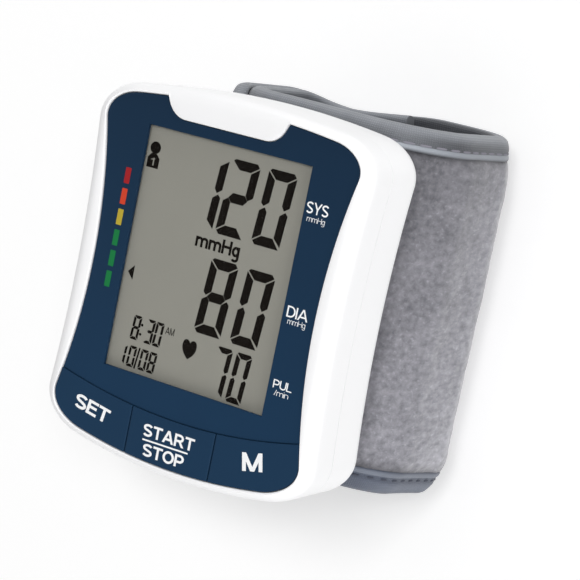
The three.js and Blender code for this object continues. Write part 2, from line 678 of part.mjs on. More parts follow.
// Keys: each cap has a stem through the front shell, over the plunger of a switch on the board.
const SWITCH_TOP = KEY_FLOOR_UNDER - FIT;
const PLUNGER_TOP = SWITCH_TOP + KEY_TRAVEL + FIT;
const SWITCH_BORE_END = BOARD_TOP + SEAT + SWITCH_FLOOR;
for (const { name, x, from, to } of keys) {
  const span = block([from + KEY_GAP / 2, to - KEY_GAP / 2], [-CASE_HEIGHT, 0], [KEY_UNDER, KEY_TOP]);
  const cap = prism(inset(recessOutline, KEY_GAP), KEY_UNDER, KEY_TOP)
    .intersect(prism(belowKeyRow(-KEY_GAP / 2), KEY_UNDER, KEY_TOP))
    .intersect(span)
    .add(rod(STEM_RADIUS, [x, SWITCH_Y, PLUNGER_TOP + SEAT], [x, SWITCH_Y, KEY_TOP - KEY_THICKNESS / 2]));
  caseGroup.add(piece(`${name}_button`, cap, NAVY_PLASTIC));

  const body = block(
    [x - SWITCH_SIDE / 2, x + SWITCH_SIDE / 2],
    [SWITCH_Y - SWITCH_SIDE / 2, SWITCH_Y + SWITCH_SIDE / 2],
    [BOARD_TOP + SEAT, SWITCH_TOP],
  ).subtract(rod(PLUNGER_RADIUS + FIT, [x, SWITCH_Y, SWITCH_BORE_END], [x, SWITCH_Y, 0]));
  caseGroup.add(piece(`${name}_switch`, body, BRIGHT_STEEL));

  const plungerFoot = SWITCH_BORE_END + KEY_TRAVEL + SEAT;
  const plunger = rod(PLUNGER_RADIUS, [x, SWITCH_Y, plungerFoot], [x, SWITCH_Y, PLUNGER_TOP]);
  caseGroup.add(piece(`${name}_plunger`, plunger, DARK_PLASTIC));
}

// Battery tray: a roof, a long wall and two end walls, open to the door and to the rear shell's floor.
const TRAY_HALF = (CELL_LENGTH + SPRING_LENGTH) / 2 + CONTACT + 2.5 * SEAT; // inside, end to end
const trayRoom = block(
  [TRAY_LEFT - OVERRUN, TRAY_RIGHT - TRAY_WALL],
  [CELLS_Y - TRAY_HALF, CELLS_Y + TRAY_HALF],
  [REAR_FLOOR - OVERRUN, TRAY_ROOF_UNDER],
);
const trayBlock = block(
  [TRAY_LEFT, TRAY_RIGHT],
  [CELLS_Y - TRAY_HALF - TRAY_WALL, CELLS_Y + TRAY_HALF + TRAY_WALL],
  [REAR_FLOOR + SEAT, TRAY_ROOF_UNDER + TRAY_WALL],
);
caseGroup.add(piece('battery_tray', trayBlock.subtract(trayRoom), DARK_PLASTIC));

// A cell standing on its flat end, turned along +Y.
function cell() {
  const shoulder = CELL_LENGTH - CELL_NUB_LENGTH;
  const profile = [
    [0, 0],
    [CELL_RADIUS, 0],
    [CELL_RADIUS, shoulder],
    [CELL_NUB_RADIUS, shoulder],
    [CELL_NUB_RADIUS, CELL_LENGTH],
    [0, CELL_LENGTH],
  ];
  return shown(solid(new THREE.LatheGeometry(profile.map(([x, y]) => new THREE.Vector2(x, y)), ROUND_SIDES)));
}

// A cell's spring: a wire that winds up to a narrower end, along +Y.
class SpringCurve extends THREE.Curve {
  getPoint(t, target = new THREE.Vector3()) {
    const angle = t * SPRING_TURNS * 2 * Math.PI;
    const radius = THREE.MathUtils.lerp(SPRING_WIDE, SPRING_NARROW, t);
    const rise = SPRING_WIRE / 2 + t * (SPRING_LENGTH - SPRING_WIRE);
    return target.set(radius * Math.cos(angle), rise, radius * Math.sin(angle));
  }
}
const SPRING_CURL_STEPS = 8;
const SPRING_SIDES = 5;

function ringShape(radius, sides) {
  const points = [];
  for (let i = 0; i < sides; i++) {
    const angle = (i / sides) * 2 * Math.PI;
    points.push(new THREE.Vector2(radius * Math.cos(angle), radius * Math.sin(angle)));
  }
  return points;
}

function spring() {
  const steps = SPRING_TURNS * SPRING_CURL_STEPS;
  const wire = new THREE.Shape(ringShape(SPRING_WIRE / 2, SPRING_SIDES));
  return new THREE.ExtrudeGeometry(wire, { steps, extrudePath: new SpringCurve(), bevelEnabled: false });
}

// Least space between neighbouring turns of the spring.
function springGap() {
  const curve = new SpringCurve();
  const samples = 200;
  const turn = 1 / SPRING_TURNS;
  let least = Infinity;
  for (let i = 0; i <= samples; i++) {
    for (let j = 0; j <= samples; j++) {
      if (Math.abs(i - j) / samples > turn / 2) {
        least = Math.min(least, curve.getPoint(i / samples).distanceTo(curve.getPoint(j / samples)));
      }
    }
  }
  return least - SPRING_WIRE;
}
console.log(`least gap between the battery springs' turns: ${springGap().toFixed(2)} mm`);

const lowEndY = CELLS_Y - TRAY_HALF;
const highEndY = CELLS_Y + TRAY_HALF;
const contactReach = SEAT + CONTACT; // end wall to the face of a contact
const springReach = contactReach + SEAT + SPRING_LENGTH; // end wall to the tip of a spring

const battery1 = piece('battery_1', cell(), CELL_JACKET);
battery1.position.set(CELL_1_X, lowEndY + springReach + SEAT, CELL_Z);
const battery2 = piece('battery_2', cell(), CELL_JACKET);
battery2.position.set(CELL_2_X, highEndY - springReach - SEAT, CELL_Z);
battery2.rotation.z = Math.PI;
const spring1 = piece('battery_spring_1', shown(solid(spring())), BRIGHT_STEEL);
spring1.position.set(CELL_1_X, lowEndY + contactReach + SEAT, CELL_Z);
const spring2 = piece('battery_spring_2', shown(solid(spring())), BRIGHT_STEEL);
spring2.position.set(CELL_2_X, highEndY - contactReach - SEAT, CELL_Z);
spring2.rotation.z = Math.PI;
caseGroup.add(battery1, battery2, spring1, spring2);

function contactPlate(fromX, toX, y) {
  return block(
    [fromX - CONTACT_SIDE / 2, toX + CONTACT_SIDE / 2],
    [y, y + CONTACT],
    [CELL_Z - CONTACT_SIDE / 2, CELL_Z + CONTACT_SIDE / 2],
  );
}
const bridge = contactPlate(CELL_1_X, CELL_2_X, highEndY - contactReach);
caseGroup.add(piece('bridge_contact', bridge, BRIGHT_STEEL));
caseGroup.add(piece('negative_contact', contactPlate(CELL_1_X, CELL_1_X, lowEndY + SEAT), BRIGHT_STEEL));
caseGroup.add(piece('positive_contact', contactPlate(CELL_2_X, CELL_2_X, lowEndY + SEAT), BRIGHT_STEEL));

// Air parts. Their nozzles share one height, so that the short tubes between them run straight.
const AIR_Z = BOARD_UNDER - SEAT - SENSOR_HEIGHT / 2;
const NOZZLE_PAIR = 2 * NOZZLE_LENGTH + NOZZLE_SPACE;
const MANIFOLD_Y = HEAD_TOP_Y + NOZZLE_PAIR + MANIFOLD_RADIUS;
const UPPER_PARTS_Y = MANIFOLD_Y + MANIFOLD_RADIUS + NOZZLE_PAIR;

function motorCan() {
  const can = rod(PUMP_RADIUS, [PUMP_X, MOTOR_FOOT_Y, PUMP_Z], [PUMP_X, MOTOR_TOP_Y, PUMP_Z]);
  const half = PUMP_RADIUS - MOTOR_FLAT;
  return can.intersect(block(
    [PUMP_X - half, PUMP_X + half],
    [MOTOR_FOOT_Y - OVERRUN, MOTOR_TOP_Y + OVERRUN],
    [PUMP_Z - PUMP_RADIUS, PUMP_Z + PUMP_RADIUS],
  ));
}
caseGroup.add(piece('pump_motor', motorCan(), BRIGHT_STEEL));

function nozzleUp(x, y) {
  return rod(NOZZLE_RADIUS, [x, y - OVERRUN, AIR_Z], [x, y + NOZZLE_LENGTH, AIR_Z], TUBE_SIDES);
}
function nozzleDown(x, y) {
  return rod(NOZZLE_RADIUS, [x, y + OVERRUN, AIR_Z], [x, y - NOZZLE_LENGTH, AIR_Z], TUBE_SIDES);
}
const pumpHead = block(
  [PUMP_X - PUMP_RADIUS, PUMP_X + PUMP_RADIUS],
  [MOTOR_TOP_Y + SEAT, HEAD_TOP_Y],
  [PUMP_Z - PUMP_RADIUS, PUMP_Z + PUMP_RADIUS],
).add(nozzleUp(PUMP_X, HEAD_TOP_Y));
caseGroup.add(piece('pump_head', pumpHead, DARK_PLASTIC));

const manifold = rod(
  MANIFOLD_RADIUS,
  [SENSOR_X - MANIFOLD_RADIUS, MANIFOLD_Y, AIR_Z],
  [PUMP_X + MANIFOLD_RADIUS, MANIFOLD_Y, AIR_Z],
)
  .add(nozzleDown(PUMP_X, MANIFOLD_Y - MANIFOLD_RADIUS))
  .add(nozzleDown(SENSOR_X, MANIFOLD_Y - MANIFOLD_RADIUS))
  .add(nozzleUp(PUMP_X, MANIFOLD_Y + MANIFOLD_RADIUS))
  .add(nozzleUp(SENSOR_X, MANIFOLD_Y + MANIFOLD_RADIUS));
caseGroup.add(piece('air_manifold', manifold, DARK_PLASTIC));

const releaseValve = block(
  [PUMP_X - VALVE_SIDE / 2, PUMP_X + VALVE_SIDE / 2],
  [UPPER_PARTS_Y, UPPER_PARTS_Y + VALVE_LENGTH],
  [REAR_FLOOR + FIT, REAR_FLOOR + FIT + VALVE_HEIGHT],
).add(nozzleDown(PUMP_X, UPPER_PARTS_Y));
caseGroup.add(piece('release_valve', releaseValve, DARK_PLASTIC));

const pressureSensor = block(
  [SENSOR_X - SENSOR_SIDE / 2, SENSOR_X + SENSOR_SIDE / 2],
  [UPPER_PARTS_Y, UPPER_PARTS_Y + SENSOR_SIDE],
  [BOARD_UNDER - SEAT - SENSOR_HEIGHT, BOARD_UNDER - SEAT],
).add(nozzleDown(SENSOR_X, UPPER_PARTS_Y));
caseGroup.add(piece('pressure_sensor', pressureSensor, STIFF_SHEET));

// A silicone tube along a curve, slipped over the nozzle at each end.
function tube(curve, steps) {
  const bore = NOZZLE_RADIUS + FIT;
  const section = new THREE.Shape(ringShape(bore + TUBE_WALL, TUBE_SIDES));
  section.holes.push(new THREE.Path(ringShape(bore, TUBE_SIDES)));
  return shown(solid(new THREE.ExtrudeGeometry(section, { steps, extrudePath: curve, bevelEnabled: false })));
}
function straightTube(x, fromY, toY) {
  const start = new THREE.Vector3(x, fromY + FIT, AIR_Z);
  return tube(new THREE.LineCurve3(start, new THREE.Vector3(x, toY - FIT, AIR_Z)), 1);
}
const manifoldLow = MANIFOLD_Y - MANIFOLD_RADIUS;
const manifoldHigh = MANIFOLD_Y + MANIFOLD_RADIUS;
caseGroup.add(piece('pump_tube', straightTube(PUMP_X, HEAD_TOP_Y, manifoldLow), SILICONE));
caseGroup.add(piece('valve_tube', straightTube(PUMP_X, manifoldHigh, UPPER_PARTS_Y), SILICONE));
caseGroup.add(piece('sensor_tube', straightTube(SENSOR_X, manifoldHigh, UPPER_PARTS_Y), SILICONE));

// The cuff's tube rises from the bladder's nozzle in the floor and bends over to the manifold.
function cuffTube() {
  const y = BLADDER_NOZZLE_Y + CUFF_Y;
  const foot = new THREE.Vector3(SENSOR_X, y, REAR_FLOOR + FIT);
  const bendStart = new THREE.Vector3(SENSOR_X, y, AIR_Z - TUBE_BEND);
  const corner = new THREE.Vector3(SENSOR_X, y, AIR_Z);
  const bendEnd = new THREE.Vector3(SENSOR_X, y + TUBE_BEND, AIR_Z);
  const end = new THREE.Vector3(SENSOR_X, manifoldLow - FIT, AIR_Z);
  const route = new THREE.CurvePath();
  route.add(new THREE.LineCurve3(foot, bendStart));
  route.add(new THREE.QuadraticBezierCurve3(bendStart, corner, bendEnd));
  route.add(new THREE.LineCurve3(bendEnd, end));
  const bendSteps = 12;
  return tube(route, bendSteps);
}
caseGroup.add(piece('cuff_tube', cuffTube(), SILICONE));

// The cuff's outside, seen along +Y: it starts as an inner lap on the back, runs up the left side,
// along the back of the case, down the right side and back under itself to the flap's hinge.
const wrap = SLEEVE + WRAP_GAP;
const frontLow = LOOP_DEPTH - LOOP_FRONT_RADIUS;
const frontStart = loopLeft + LOOP_FRONT_RADIUS;
const backStart = loopLeft + LOOP_BACK_RADIUS;
const backEnd = loopRight - LOOP_BACK_RADIUS;
const frontMiddle = (frontStart + frontEnd) / 2;
const quarter = Math.PI / 2;

const cuffPath = new THREE.Path();
cuffPath.moveTo(INNER_END_X, wrap);
cuffPath.lineTo(backStart, wrap);
cuffPath.absarc(backStart, LOOP_BACK_RADIUS, LOOP_BACK_RADIUS - wrap, -quarter, -2 * quarter, true);
cuffPath.lineTo(loopLeft + wrap, frontLow);
cuffPath.absarc(frontStart, frontLow, LOOP_FRONT_RADIUS - wrap, 2 * quarter, quarter, true);
cuffPath.bezierCurveTo(frontMiddle, LOOP_DEPTH - wrap, frontMiddle, LOOP_DEPTH, frontEnd, LOOP_DEPTH);
cuffPath.absarc(frontEnd, frontLow, LOOP_FRONT_RADIUS, quarter, 0, true);
cuffPath.lineTo(loopRight, LOOP_BACK_RADIUS);
cuffPath.absarc(backEnd, LOOP_BACK_RADIUS, LOOP_BACK_RADIUS, 0, -quarter, true);
cuffPath.lineTo(backStart, 0);
cuffPath.absarc(backStart, LOOP_BACK_RADIUS, LOOP_BACK_RADIUS, -quarter, -2 * quarter, true);

// The flap goes on from the hinge up the left side and part of the way round the corner.
const flapPath = new THREE.Path();
flapPath.moveTo(loopLeft, LOOP_BACK_RADIUS + HINGE_GAP);
flapPath.lineTo(loopLeft, frontLow);
flapPath.absarc(frontStart, frontLow, LOOP_FRONT_RADIUS, 2 * quarter, 2 * quarter - FLAP_ARC, true);

// Stations along a path: the distance run, the point, and the way in towards the wrist. The starts of
// the path's lines and curves are kept as marks.
function stationsOf(path) {
  const negligible = 1e-6;
  const stations = [];
  const marks = [];
  let run = 0;
  for (const curve of path.curves) {
    const length = curve.getLength();
    if (length < negligible) continue;
    marks.push(run);
    const steps = Math.max(1, Math.ceil(length / CUFF_STEP));
    for (let i = stations.length ? 1 : 0; i <= steps; i++) {
      const point = curve.getPointAt(i / steps);
      const along = curve.getTangentAt(i / steps);
      const inward = new THREE.Vector2(along.y, -along.x);
      stations.push({ run: run + (i / steps) * length, point, inward });
    }
    run += length;
  }
  marks.push(run);
  return { stations, marks };
}

// The part of a row of stations between two distances, with new stations at both ends.
function stretch(stations, from, to) {
  const at = (run) => {
    const next = stations.findIndex((station) => station.run > run);
    const b = stations.at(next);
    const a = stations.at(next - 1);
    const share = (run - a.run) / (b.run - a.run);
    return { run, point: a.point.clone().lerp(b.point, share), inward: a.inward.clone().lerp(b.inward, share) };
  };
  const near = CUFF_STEP / 6;
  const inside = stations.filter((station) => station.run > from + near && station.run < to - near);
  const first = from <= stations[0].run ? stations[0] : at(from);
  const last = to >= stations.at(-1).run ? stations.at(-1) : at(to);
  return [first, ...inside, last];
}

// Upper and lower edges of the cuff at a station.
function upperEdge({ point }) {
  const across = 1 - THREE.MathUtils.smoothstep(Math.abs(point.x - SAG_X), 0, SAG_REACH);
  const atBack = 1 - THREE.MathUtils.smoothstep(point.y, 0, LOOP_BACK_RADIUS);
  return CUFF_WIDTH / 2 - CUFF_BACK_SAG * across * atBack;
}
function lowerEdge({ point }) {
  return (CUFF_BOTTOM_LIFT * point.y) / LOOP_DEPTH - CUFF_WIDTH / 2;
}

// How far the cuff is drawn in at a height, near its edges.
function drawIn(station, y) {
  const fromTop = Math.max(0, TOP_DRAW_HEIGHT - (upperEdge(station) - y)) / TOP_DRAW_HEIGHT;
  const fromBottom = Math.max(0, BOTTOM_DRAW_HEIGHT - (y - lowerEdge(station))) / BOTTOM_DRAW_HEIGHT;
  return TOP_DRAW * fromTop ** 2 + BOTTOM_DRAW * fromBottom ** 2;
}

// A band along stations. Its section is a list of [depth, y], anticlockwise, at a station.
function band(stations, section) {
  const flat = stations.map((station) => (
    section(station).map(([depth, y]) => new THREE.Vector2(depth + drawIn(station, y), y))
  ));
  const rings = stations.map(({ point, inward }, i) => flat[i].map(({ x, y }) => (
    new THREE.Vector3(point.x + inward.x * x, y, point.y + inward.y * x)
  )));
  const firstCap = THREE.ShapeUtils.triangulateShape(flat[0], []);
  const lastCap = THREE.ShapeUtils.triangulateShape(flat.at(-1), []);
  return skin(rings, firstCap, lastCap);
}

const { stations: cuffStations, marks } = stationsOf(cuffPath);
const { stations: flapStations, marks: flapMarks } = stationsOf(flapPath);
const [, backLeftMark, , , , frontRightMark, rightMark, , backMark] = marks;
const cuffLength = marks.at(-1);
const liningEnd = backMark + (backEnd - INNER_END_X - END_SPACE);
const padEnd = rightMark; // where the bladder and its sheet stop
const seam = BINDING_HEIGHT + FIT; // edge of the cuff to the edge of its sleeve and lining

// Depths into the cuff, from the outside of the sleeve.
const STIFFENER_DEPTH = SLEEVE + FIT;
const BLADDER_DEPTH = STIFFENER_DEPTH + STIFFENER + FIT;
const LINING_FLAT = SLEEVE + FIT; // the lining lies on the sleeve where there is no padding
const LINING_PADDED = BLADDER_DEPTH + BLADDER + FIT;

// Sleeve: the outer fleece, with holes for the stiffener's posts and the bladder's nozzle.
const pegHoles = pegs.map(([x, y]) => (
  rod(POST_PEG_RADIUS + FIT, [x, y, LOOP_DEPTH / 2], [x, y, LOOP_DEPTH + OVERRUN])
));
const nozzleHole = rod(
  BLADDER_NOZZLE_RADIUS + FIT,
  [SENSOR_X, BLADDER_NOZZLE_Y, LOOP_DEPTH / 2],
  [SENSOR_X, BLADDER_NOZZLE_Y, LOOP_DEPTH + OVERRUN],
);
// Heights across the sleeve, close together where it is drawn in.
function sleeveHeights(station) {
  const low = lowerEdge(station);
  const high = upperEdge(station);
  const drawnSteps = [0, 0.35, 0.7, 1].map((share) => THREE.MathUtils.lerp(TOP_DRAW_HEIGHT, seam, share));
  return [low + seam, low + BOTTOM_DRAW_HEIGHT, ...drawnSteps.map((down) => high - down)];
}
const sleeveBand = band(cuffStations, (station) => {
  const heights = sleeveHeights(station);
  const inner = heights.map((y) => [SLEEVE, y]);
  const outer = heights.map((y) => [0, y]);
  return inner.concat(outer.reverse());
});
const sleeve = pegHoles.reduce((cut, hole) => cut.subtract(hole), solid(sleeveBand)).subtract(nozzleHole);
cuffGroup.add(piece('cuff_sleeve', sleeve, GREY_FLEECE));

// Lining: lies on the sleeve along its edges and stands over the padding between them.
function liningSection(station) {
  const out = THREE.MathUtils.smoothstep(station.run, padEnd, padEnd + PAD_RAMP);
  const crown = THREE.MathUtils.lerp(LINING_PADDED, LINING_FLAT, out);
  const low = lowerEdge(station) + seam;
  const high = upperEdge(station) - seam;
  const outer = [
    [LINING_FLAT, low],
    [LINING_FLAT, low + BINDING_ROUND],
    [crown, low + PAD_SLOPE],
    [crown, high - PAD_SLOPE],
    [LINING_FLAT, high - BINDING_ROUND],
    [LINING_FLAT, high],
  ];
  const inner = outer.map(([depth, y]) => [depth + LINING, y]);
  return inner.concat(outer.reverse());
}
cuffGroup.add(piece('cuff_lining', band(stretch(cuffStations, 0, liningEnd), liningSection), SMOOTH_LINING));

// Stiffener: a curled sheet that keeps the cuff open, with posts that plug into the rear shell.
const stiffenerHalf = CUFF_WIDTH / 2 - CUFF_BOTTOM_LIFT - seam - STIFFENER_INSET;
const stiffenerBand = band(stretch(cuffStations, backLeftMark, padEnd), () => [
  [STIFFENER_DEPTH, -stiffenerHalf],
  [STIFFENER_DEPTH + STIFFENER, -stiffenerHalf],
  [STIFFENER_DEPTH + STIFFENER, stiffenerHalf],
  [STIFFENER_DEPTH, stiffenerHalf],
]);
const PEG_TOP = LOOP_DEPTH + FIT + WALL / 2;
const pegFootZ = LOOP_DEPTH - STIFFENER_DEPTH - STIFFENER / 2;
const stiffener = pegs.reduce((joined, [x, y]) => {
  const sink = x < frontEnd ? wrapSink(x) : 0;
  return joined.add(rod(POST_PEG_RADIUS, [x, y, pegFootZ - sink], [x, y, PEG_TOP]));
}, solid(stiffenerBand).subtract(nozzleHole));
cuffGroup.add(piece('cuff_stiffener', stiffener, STIFF_SHEET));

// How far the cuff's outside lies below its highest line at a place along its front.
function wrapSink(x) {
  const front = cuffStations.filter(({ run }) => run >= marks[4] && run <= frontRightMark);
  const next = front.findIndex(({ point }) => point.x > x);
  const share = (x - front[next - 1].point.x) / (front[next].point.x - front[next - 1].point.x);
  return LOOP_DEPTH - THREE.MathUtils.lerp(front[next - 1].point.y, front[next].point.y, share);
}

// Bladder: a flat cushion of air with sloping edges, and the nozzle that goes up into the case.
const bladderHalf = CUFF_WIDTH / 2 - CUFF_BOTTOM_LIFT - seam - BLADDER_INSET;
const bladderBand = band(stretch(cuffStations, END_SPACE, padEnd - END_SPACE), () => {
  const top = BLADDER_DEPTH + BLADDER;
  const shoulder = BLADDER_DEPTH + BLADDER / 4;
  const brow = bladderHalf - PAD_SLOPE / 2;
  return [
    [BLADDER_DEPTH, -bladderHalf],
    [shoulder, -bladderHalf],
    [top, -brow],
    [top, brow],
    [shoulder, bladderHalf],
    [BLADDER_DEPTH, bladderHalf],
  ];
});
const nozzleFootZ = LOOP_DEPTH - wrapSink(SENSOR_X) - BLADDER_DEPTH - BLADDER / 2;
const bladder = solid(bladderBand).add(rod(
  BLADDER_NOZZLE_RADIUS,
  [SENSOR_X, BLADDER_NOZZLE_Y, nozzleFootZ],
  [SENSOR_X, BLADDER_NOZZLE_Y, LOOP_DEPTH + FIT + WALL + NOZZLE_LENGTH],
  TUBE_SIDES,
));
cuffGroup.add(piece('air_bladder', bladder, BLADDER_FILM));

// Bindings: tapes folded over both edges of the cuff, with a round outer edge.
function bindingSection(station, edge, way) {
  const depth = station.run < liningEnd ? LINING_FLAT + LINING : SLEEVE;
  const ring = [
    [0, BINDING_HEIGHT],
    [depth, BINDING_HEIGHT],
    [depth, BINDING_ROUND],
    [depth - BINDING_ROUND, 0],
    [BINDING_ROUND, 0],
    [0, BINDING_ROUND],
  ].map(([d, down]) => [d, edge(station) - way * down]);
  return way > 0 ? ring : ring.reverse();
}
const upperBand = band(cuffStations, (station) => bindingSection(station, upperEdge, 1));
cuffGroup.add(piece('upper_binding', upperBand, WOVEN_TAPE));
const lowerBand = band(cuffStations, (station) => bindingSection(station, lowerEdge, -1));
cuffGroup.add(piece('lower_binding', lowerBand, WOVEN_TAPE));

// Flap: the free end of the cuff, with round corners, and the hook patch on its inner face.
const flapLength = flapMarks.at(-1);
const flapBand = band(flapStations, (station) => {
  const into = Math.max(0, station.run - (flapLength - FLAP_CORNER));
  const cut = FLAP_CORNER - Math.sqrt(Math.max(0, FLAP_CORNER ** 2 - into ** 2));
  const low = lowerEdge(station) + cut;
  const high = upperEdge(station) - cut;
  const lowFlat = lowerEdge(station) + BOTTOM_DRAW_HEIGHT + FLAP_CORNER;
  const highFlat = upperEdge(station) - TOP_DRAW_HEIGHT;
  const heights = [
    ...[0, 0.25, 0.5, 1].map((share) => THREE.MathUtils.lerp(low, lowFlat, share)),
    ...[0, 0.35, 0.7, 1].map((share) => THREE.MathUtils.lerp(highFlat, high, share)),
  ];
  const inner = heights.map((y) => [SLEEVE, y]);
  const outer = heights.map((y) => [0, y]);
  return inner.concat(outer.reverse());
});
cuffGroup.add(piece('strap_flap', flapBand, GREY_FLEECE));

const hookBand = band(stretch(flapStations, HOOK_MARGIN, flapLength - HOOK_MARGIN), () => [
  [SLEEVE + FIT, -HOOK_WIDTH / 2],
  [SLEEVE + FIT + HOOK, -HOOK_WIDTH / 2],
  [SLEEVE + FIT + HOOK, HOOK_WIDTH / 2],
  [SLEEVE + FIT, HOOK_WIDTH / 2],
]);
cuffGroup.add(piece('hook_patch', hookBand, DARK_PLASTIC));

export default monitor;
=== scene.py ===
"""Wrist blood pressure monitor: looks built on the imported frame, from the case outwards to the cuff.
Lengths are in millimetres, except those of the table and the lamps, which are in metres."""

import bpy
import numpy as np
from mathutils import Matrix, Vector, geometry


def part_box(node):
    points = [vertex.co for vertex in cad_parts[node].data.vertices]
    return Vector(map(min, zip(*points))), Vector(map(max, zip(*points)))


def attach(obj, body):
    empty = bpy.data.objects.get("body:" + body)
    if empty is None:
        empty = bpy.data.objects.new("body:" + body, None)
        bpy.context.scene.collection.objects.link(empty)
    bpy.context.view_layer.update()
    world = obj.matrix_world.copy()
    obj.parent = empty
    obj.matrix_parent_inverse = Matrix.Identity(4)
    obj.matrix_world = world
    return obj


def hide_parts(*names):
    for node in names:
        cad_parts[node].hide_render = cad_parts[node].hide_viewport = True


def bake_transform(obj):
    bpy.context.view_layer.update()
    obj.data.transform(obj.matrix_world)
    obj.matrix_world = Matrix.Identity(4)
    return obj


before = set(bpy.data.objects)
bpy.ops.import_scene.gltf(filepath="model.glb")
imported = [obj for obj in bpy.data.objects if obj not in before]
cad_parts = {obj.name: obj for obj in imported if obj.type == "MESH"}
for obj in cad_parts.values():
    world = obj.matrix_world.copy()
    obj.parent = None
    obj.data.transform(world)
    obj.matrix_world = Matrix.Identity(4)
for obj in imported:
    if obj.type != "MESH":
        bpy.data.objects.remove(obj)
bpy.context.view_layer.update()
scene = bpy.context.scene

# Camera: it stands above the display and to its right, as the photographer did, with a long lens. The
# place and the three axes are those that bring the window, panel and cuff onto the picture.
MM = 0.001
CAMERA_PLACE = np.array([218.17, 69.41, 422.46]) * MM
CAMERA_AXES = [(0.83899, 0.19887, -0.5065), (-0.25034, 0.96753, -0.03477), (0.48314, 0.15597, 0.86154)]
optics = bpy.data.cameras.new("camera")
optics.sensor_width = 36
optics.lens = 127.27
camera = bpy.data.objects.new("camera", optics)
scene.collection.objects.link(camera)
stand = Matrix(CAMERA_AXES).transposed().to_4x4()
stand.translation = CAMERA_PLACE.tolist()
camera.matrix_world = stand
scene.camera = camera
scene.view_settings.view_transform = "Standard"


# Studio: a white table under the cuff and a soft white room, with two high lamps round the object and
# three broad low ones that are flagged off the table. The table keeps the shadow, and looks white only
# to the eye.
def linear(colour):
    """An sRGB hex colour as linear RGBA: c / 12.92 up to 0.04045, ((c + 0.055) / 1.055) ** 2.4 above."""
    share = np.array([int(colour[i:i + 2], 16) for i in (1, 3, 5)]) / 255
    curved = np.where(share <= 0.04045, share / 12.92, ((share + 0.055) / 1.055) ** 2.4)
    return (*curved.tolist(), 1.0)


def add(tree, kind, settings=(), links=()):
    """Adds a node to a tree. Settings go to its properties or to its inputs, and links join its inputs to
    the outputs of other nodes."""
    made = tree.nodes.new(kind)
    for key, value in dict(settings).items():
        if isinstance(key, str) and hasattr(made, key):
            setattr(made, key, value)
        else:
            made.inputs[key].default_value = value
    for key, output in dict(links).items():
        tree.links.new(made.inputs[key], output)
    return made


def seen_directly(tree):
    """1 for rays from the eye, also by way of gloss or glass, and 0 for rays that carry light."""
    path = add(tree, "ShaderNodeLightPath")
    gloss = path.outputs["Is Glossy Ray"]
    glass = path.outputs["Is Transmission Ray"]
    either = add(tree, "ShaderNodeMath", {"operation": "MAXIMUM"}, {0: gloss, 1: glass})
    eye = path.outputs["Is Camera Ray"]
    any_of = add(tree, "ShaderNodeMath", {"operation": "MAXIMUM"}, {0: either.outputs[0], 1: eye})
    return any_of.outputs[0]


ROOM_LIGHT = 0.32
room = bpy.data.worlds.new("white_room")
room.use_nodes = True
scene.world = room
lift = add(
    room.node_tree, "ShaderNodeMath", {"operation": "MULTIPLY_ADD", 1: 1 - ROOM_LIGHT, 2: ROOM_LIGHT},
    {0: seen_directly(room.node_tree)},
)
room.node_tree.links.new(room.node_tree.nodes["Background"].inputs["Strength"], lift.outputs[0])
room.node_tree.nodes["Background"].inputs["Color"].default_value = (1, 1, 1, 1)

TABLE_HALF, TABLE_Z = 3.0, -0.0004
TABLE_GLOW = 0.43
table_top = bpy.data.materials.new("white_table")
table_top.use_nodes = True
tree = table_top.node_tree
tree.nodes.remove(tree.nodes["Principled BSDF"])
matt = add(tree, "ShaderNodeBsdfDiffuse", {"Color": linear("#EDEDED")})
amount = add(tree, "ShaderNodeMath", {"operation": "MULTIPLY", 1: TABLE_GLOW}, {0: seen_directly(tree)})
glow = add(tree, "ShaderNodeEmission", {"Color": (1, 1, 1, 1)}, {"Strength": amount.outputs[0]})
both = add(tree, "ShaderNodeAddShader", {}, {0: matt.outputs[0], 1: glow.outputs[0]})
tree.links.new(tree.nodes["Material Output"].inputs["Surface"], both.outputs[0])
table_mesh = bpy.data.meshes.new("table")
corners = [(x * TABLE_HALF, y * TABLE_HALF, TABLE_Z) for x, y in ((-1, -1), (1, -1), (1, 1), (-1, 1))]
table_mesh.from_pydata(corners, [], [(0, 1, 2, 3)])
table_mesh.materials.append(table_top)
table = bpy.data.objects.new("table", table_mesh)
scene.collection.objects.link(table)

# Each lamp's place, its side in metres, its power in watts, and whether it is flagged off the table.
LAMPS = {
    "lamp_high_far": ((0.56, 0.7, 2.14), 0.5, 12.6, False),
    "lamp_high_right": ((1.2, 0.6, 2.05), 0.5, 10.5, False),
    "lamp_right": ((1.0, -0.3, 0.4), 0.7, 5.2, True),
    "lamp_near": ((0.1, -0.9, 0.6), 0.6, 2.8, True),
    "lamp_far": ((-0.1, 1.1, 0.14), 0.6, 6.0, True),
}
flagged = bpy.data.collections.new("flagged_off_the_low_lamps")
flagged.objects.link(table)
flagged.collection_objects[0].light_linking.link_state = "EXCLUDE"
for lamp_name, (place, side, power, low) in LAMPS.items():
    lamp = bpy.data.lights.new(lamp_name, "AREA")
    lamp.size = side
    lamp.energy = power
    holder = bpy.data.objects.new(lamp_name, lamp)
    holder.location = place
    holder.rotation_mode = "QUATERNION"
    holder.rotation_quaternion = Vector(place).to_track_quat("Z", "Y")
    scene.collection.objects.link(holder)
    if low:
        holder.light_linking.receiver_collection = flagged


# Front shell: the white half of the case that faces the user, moulded in ABS with a fine spark texture.
# A round rim runs down into a recess for the navy panel, and a plain tab dips into the panel at the top.
TONE_WIDTH = 12


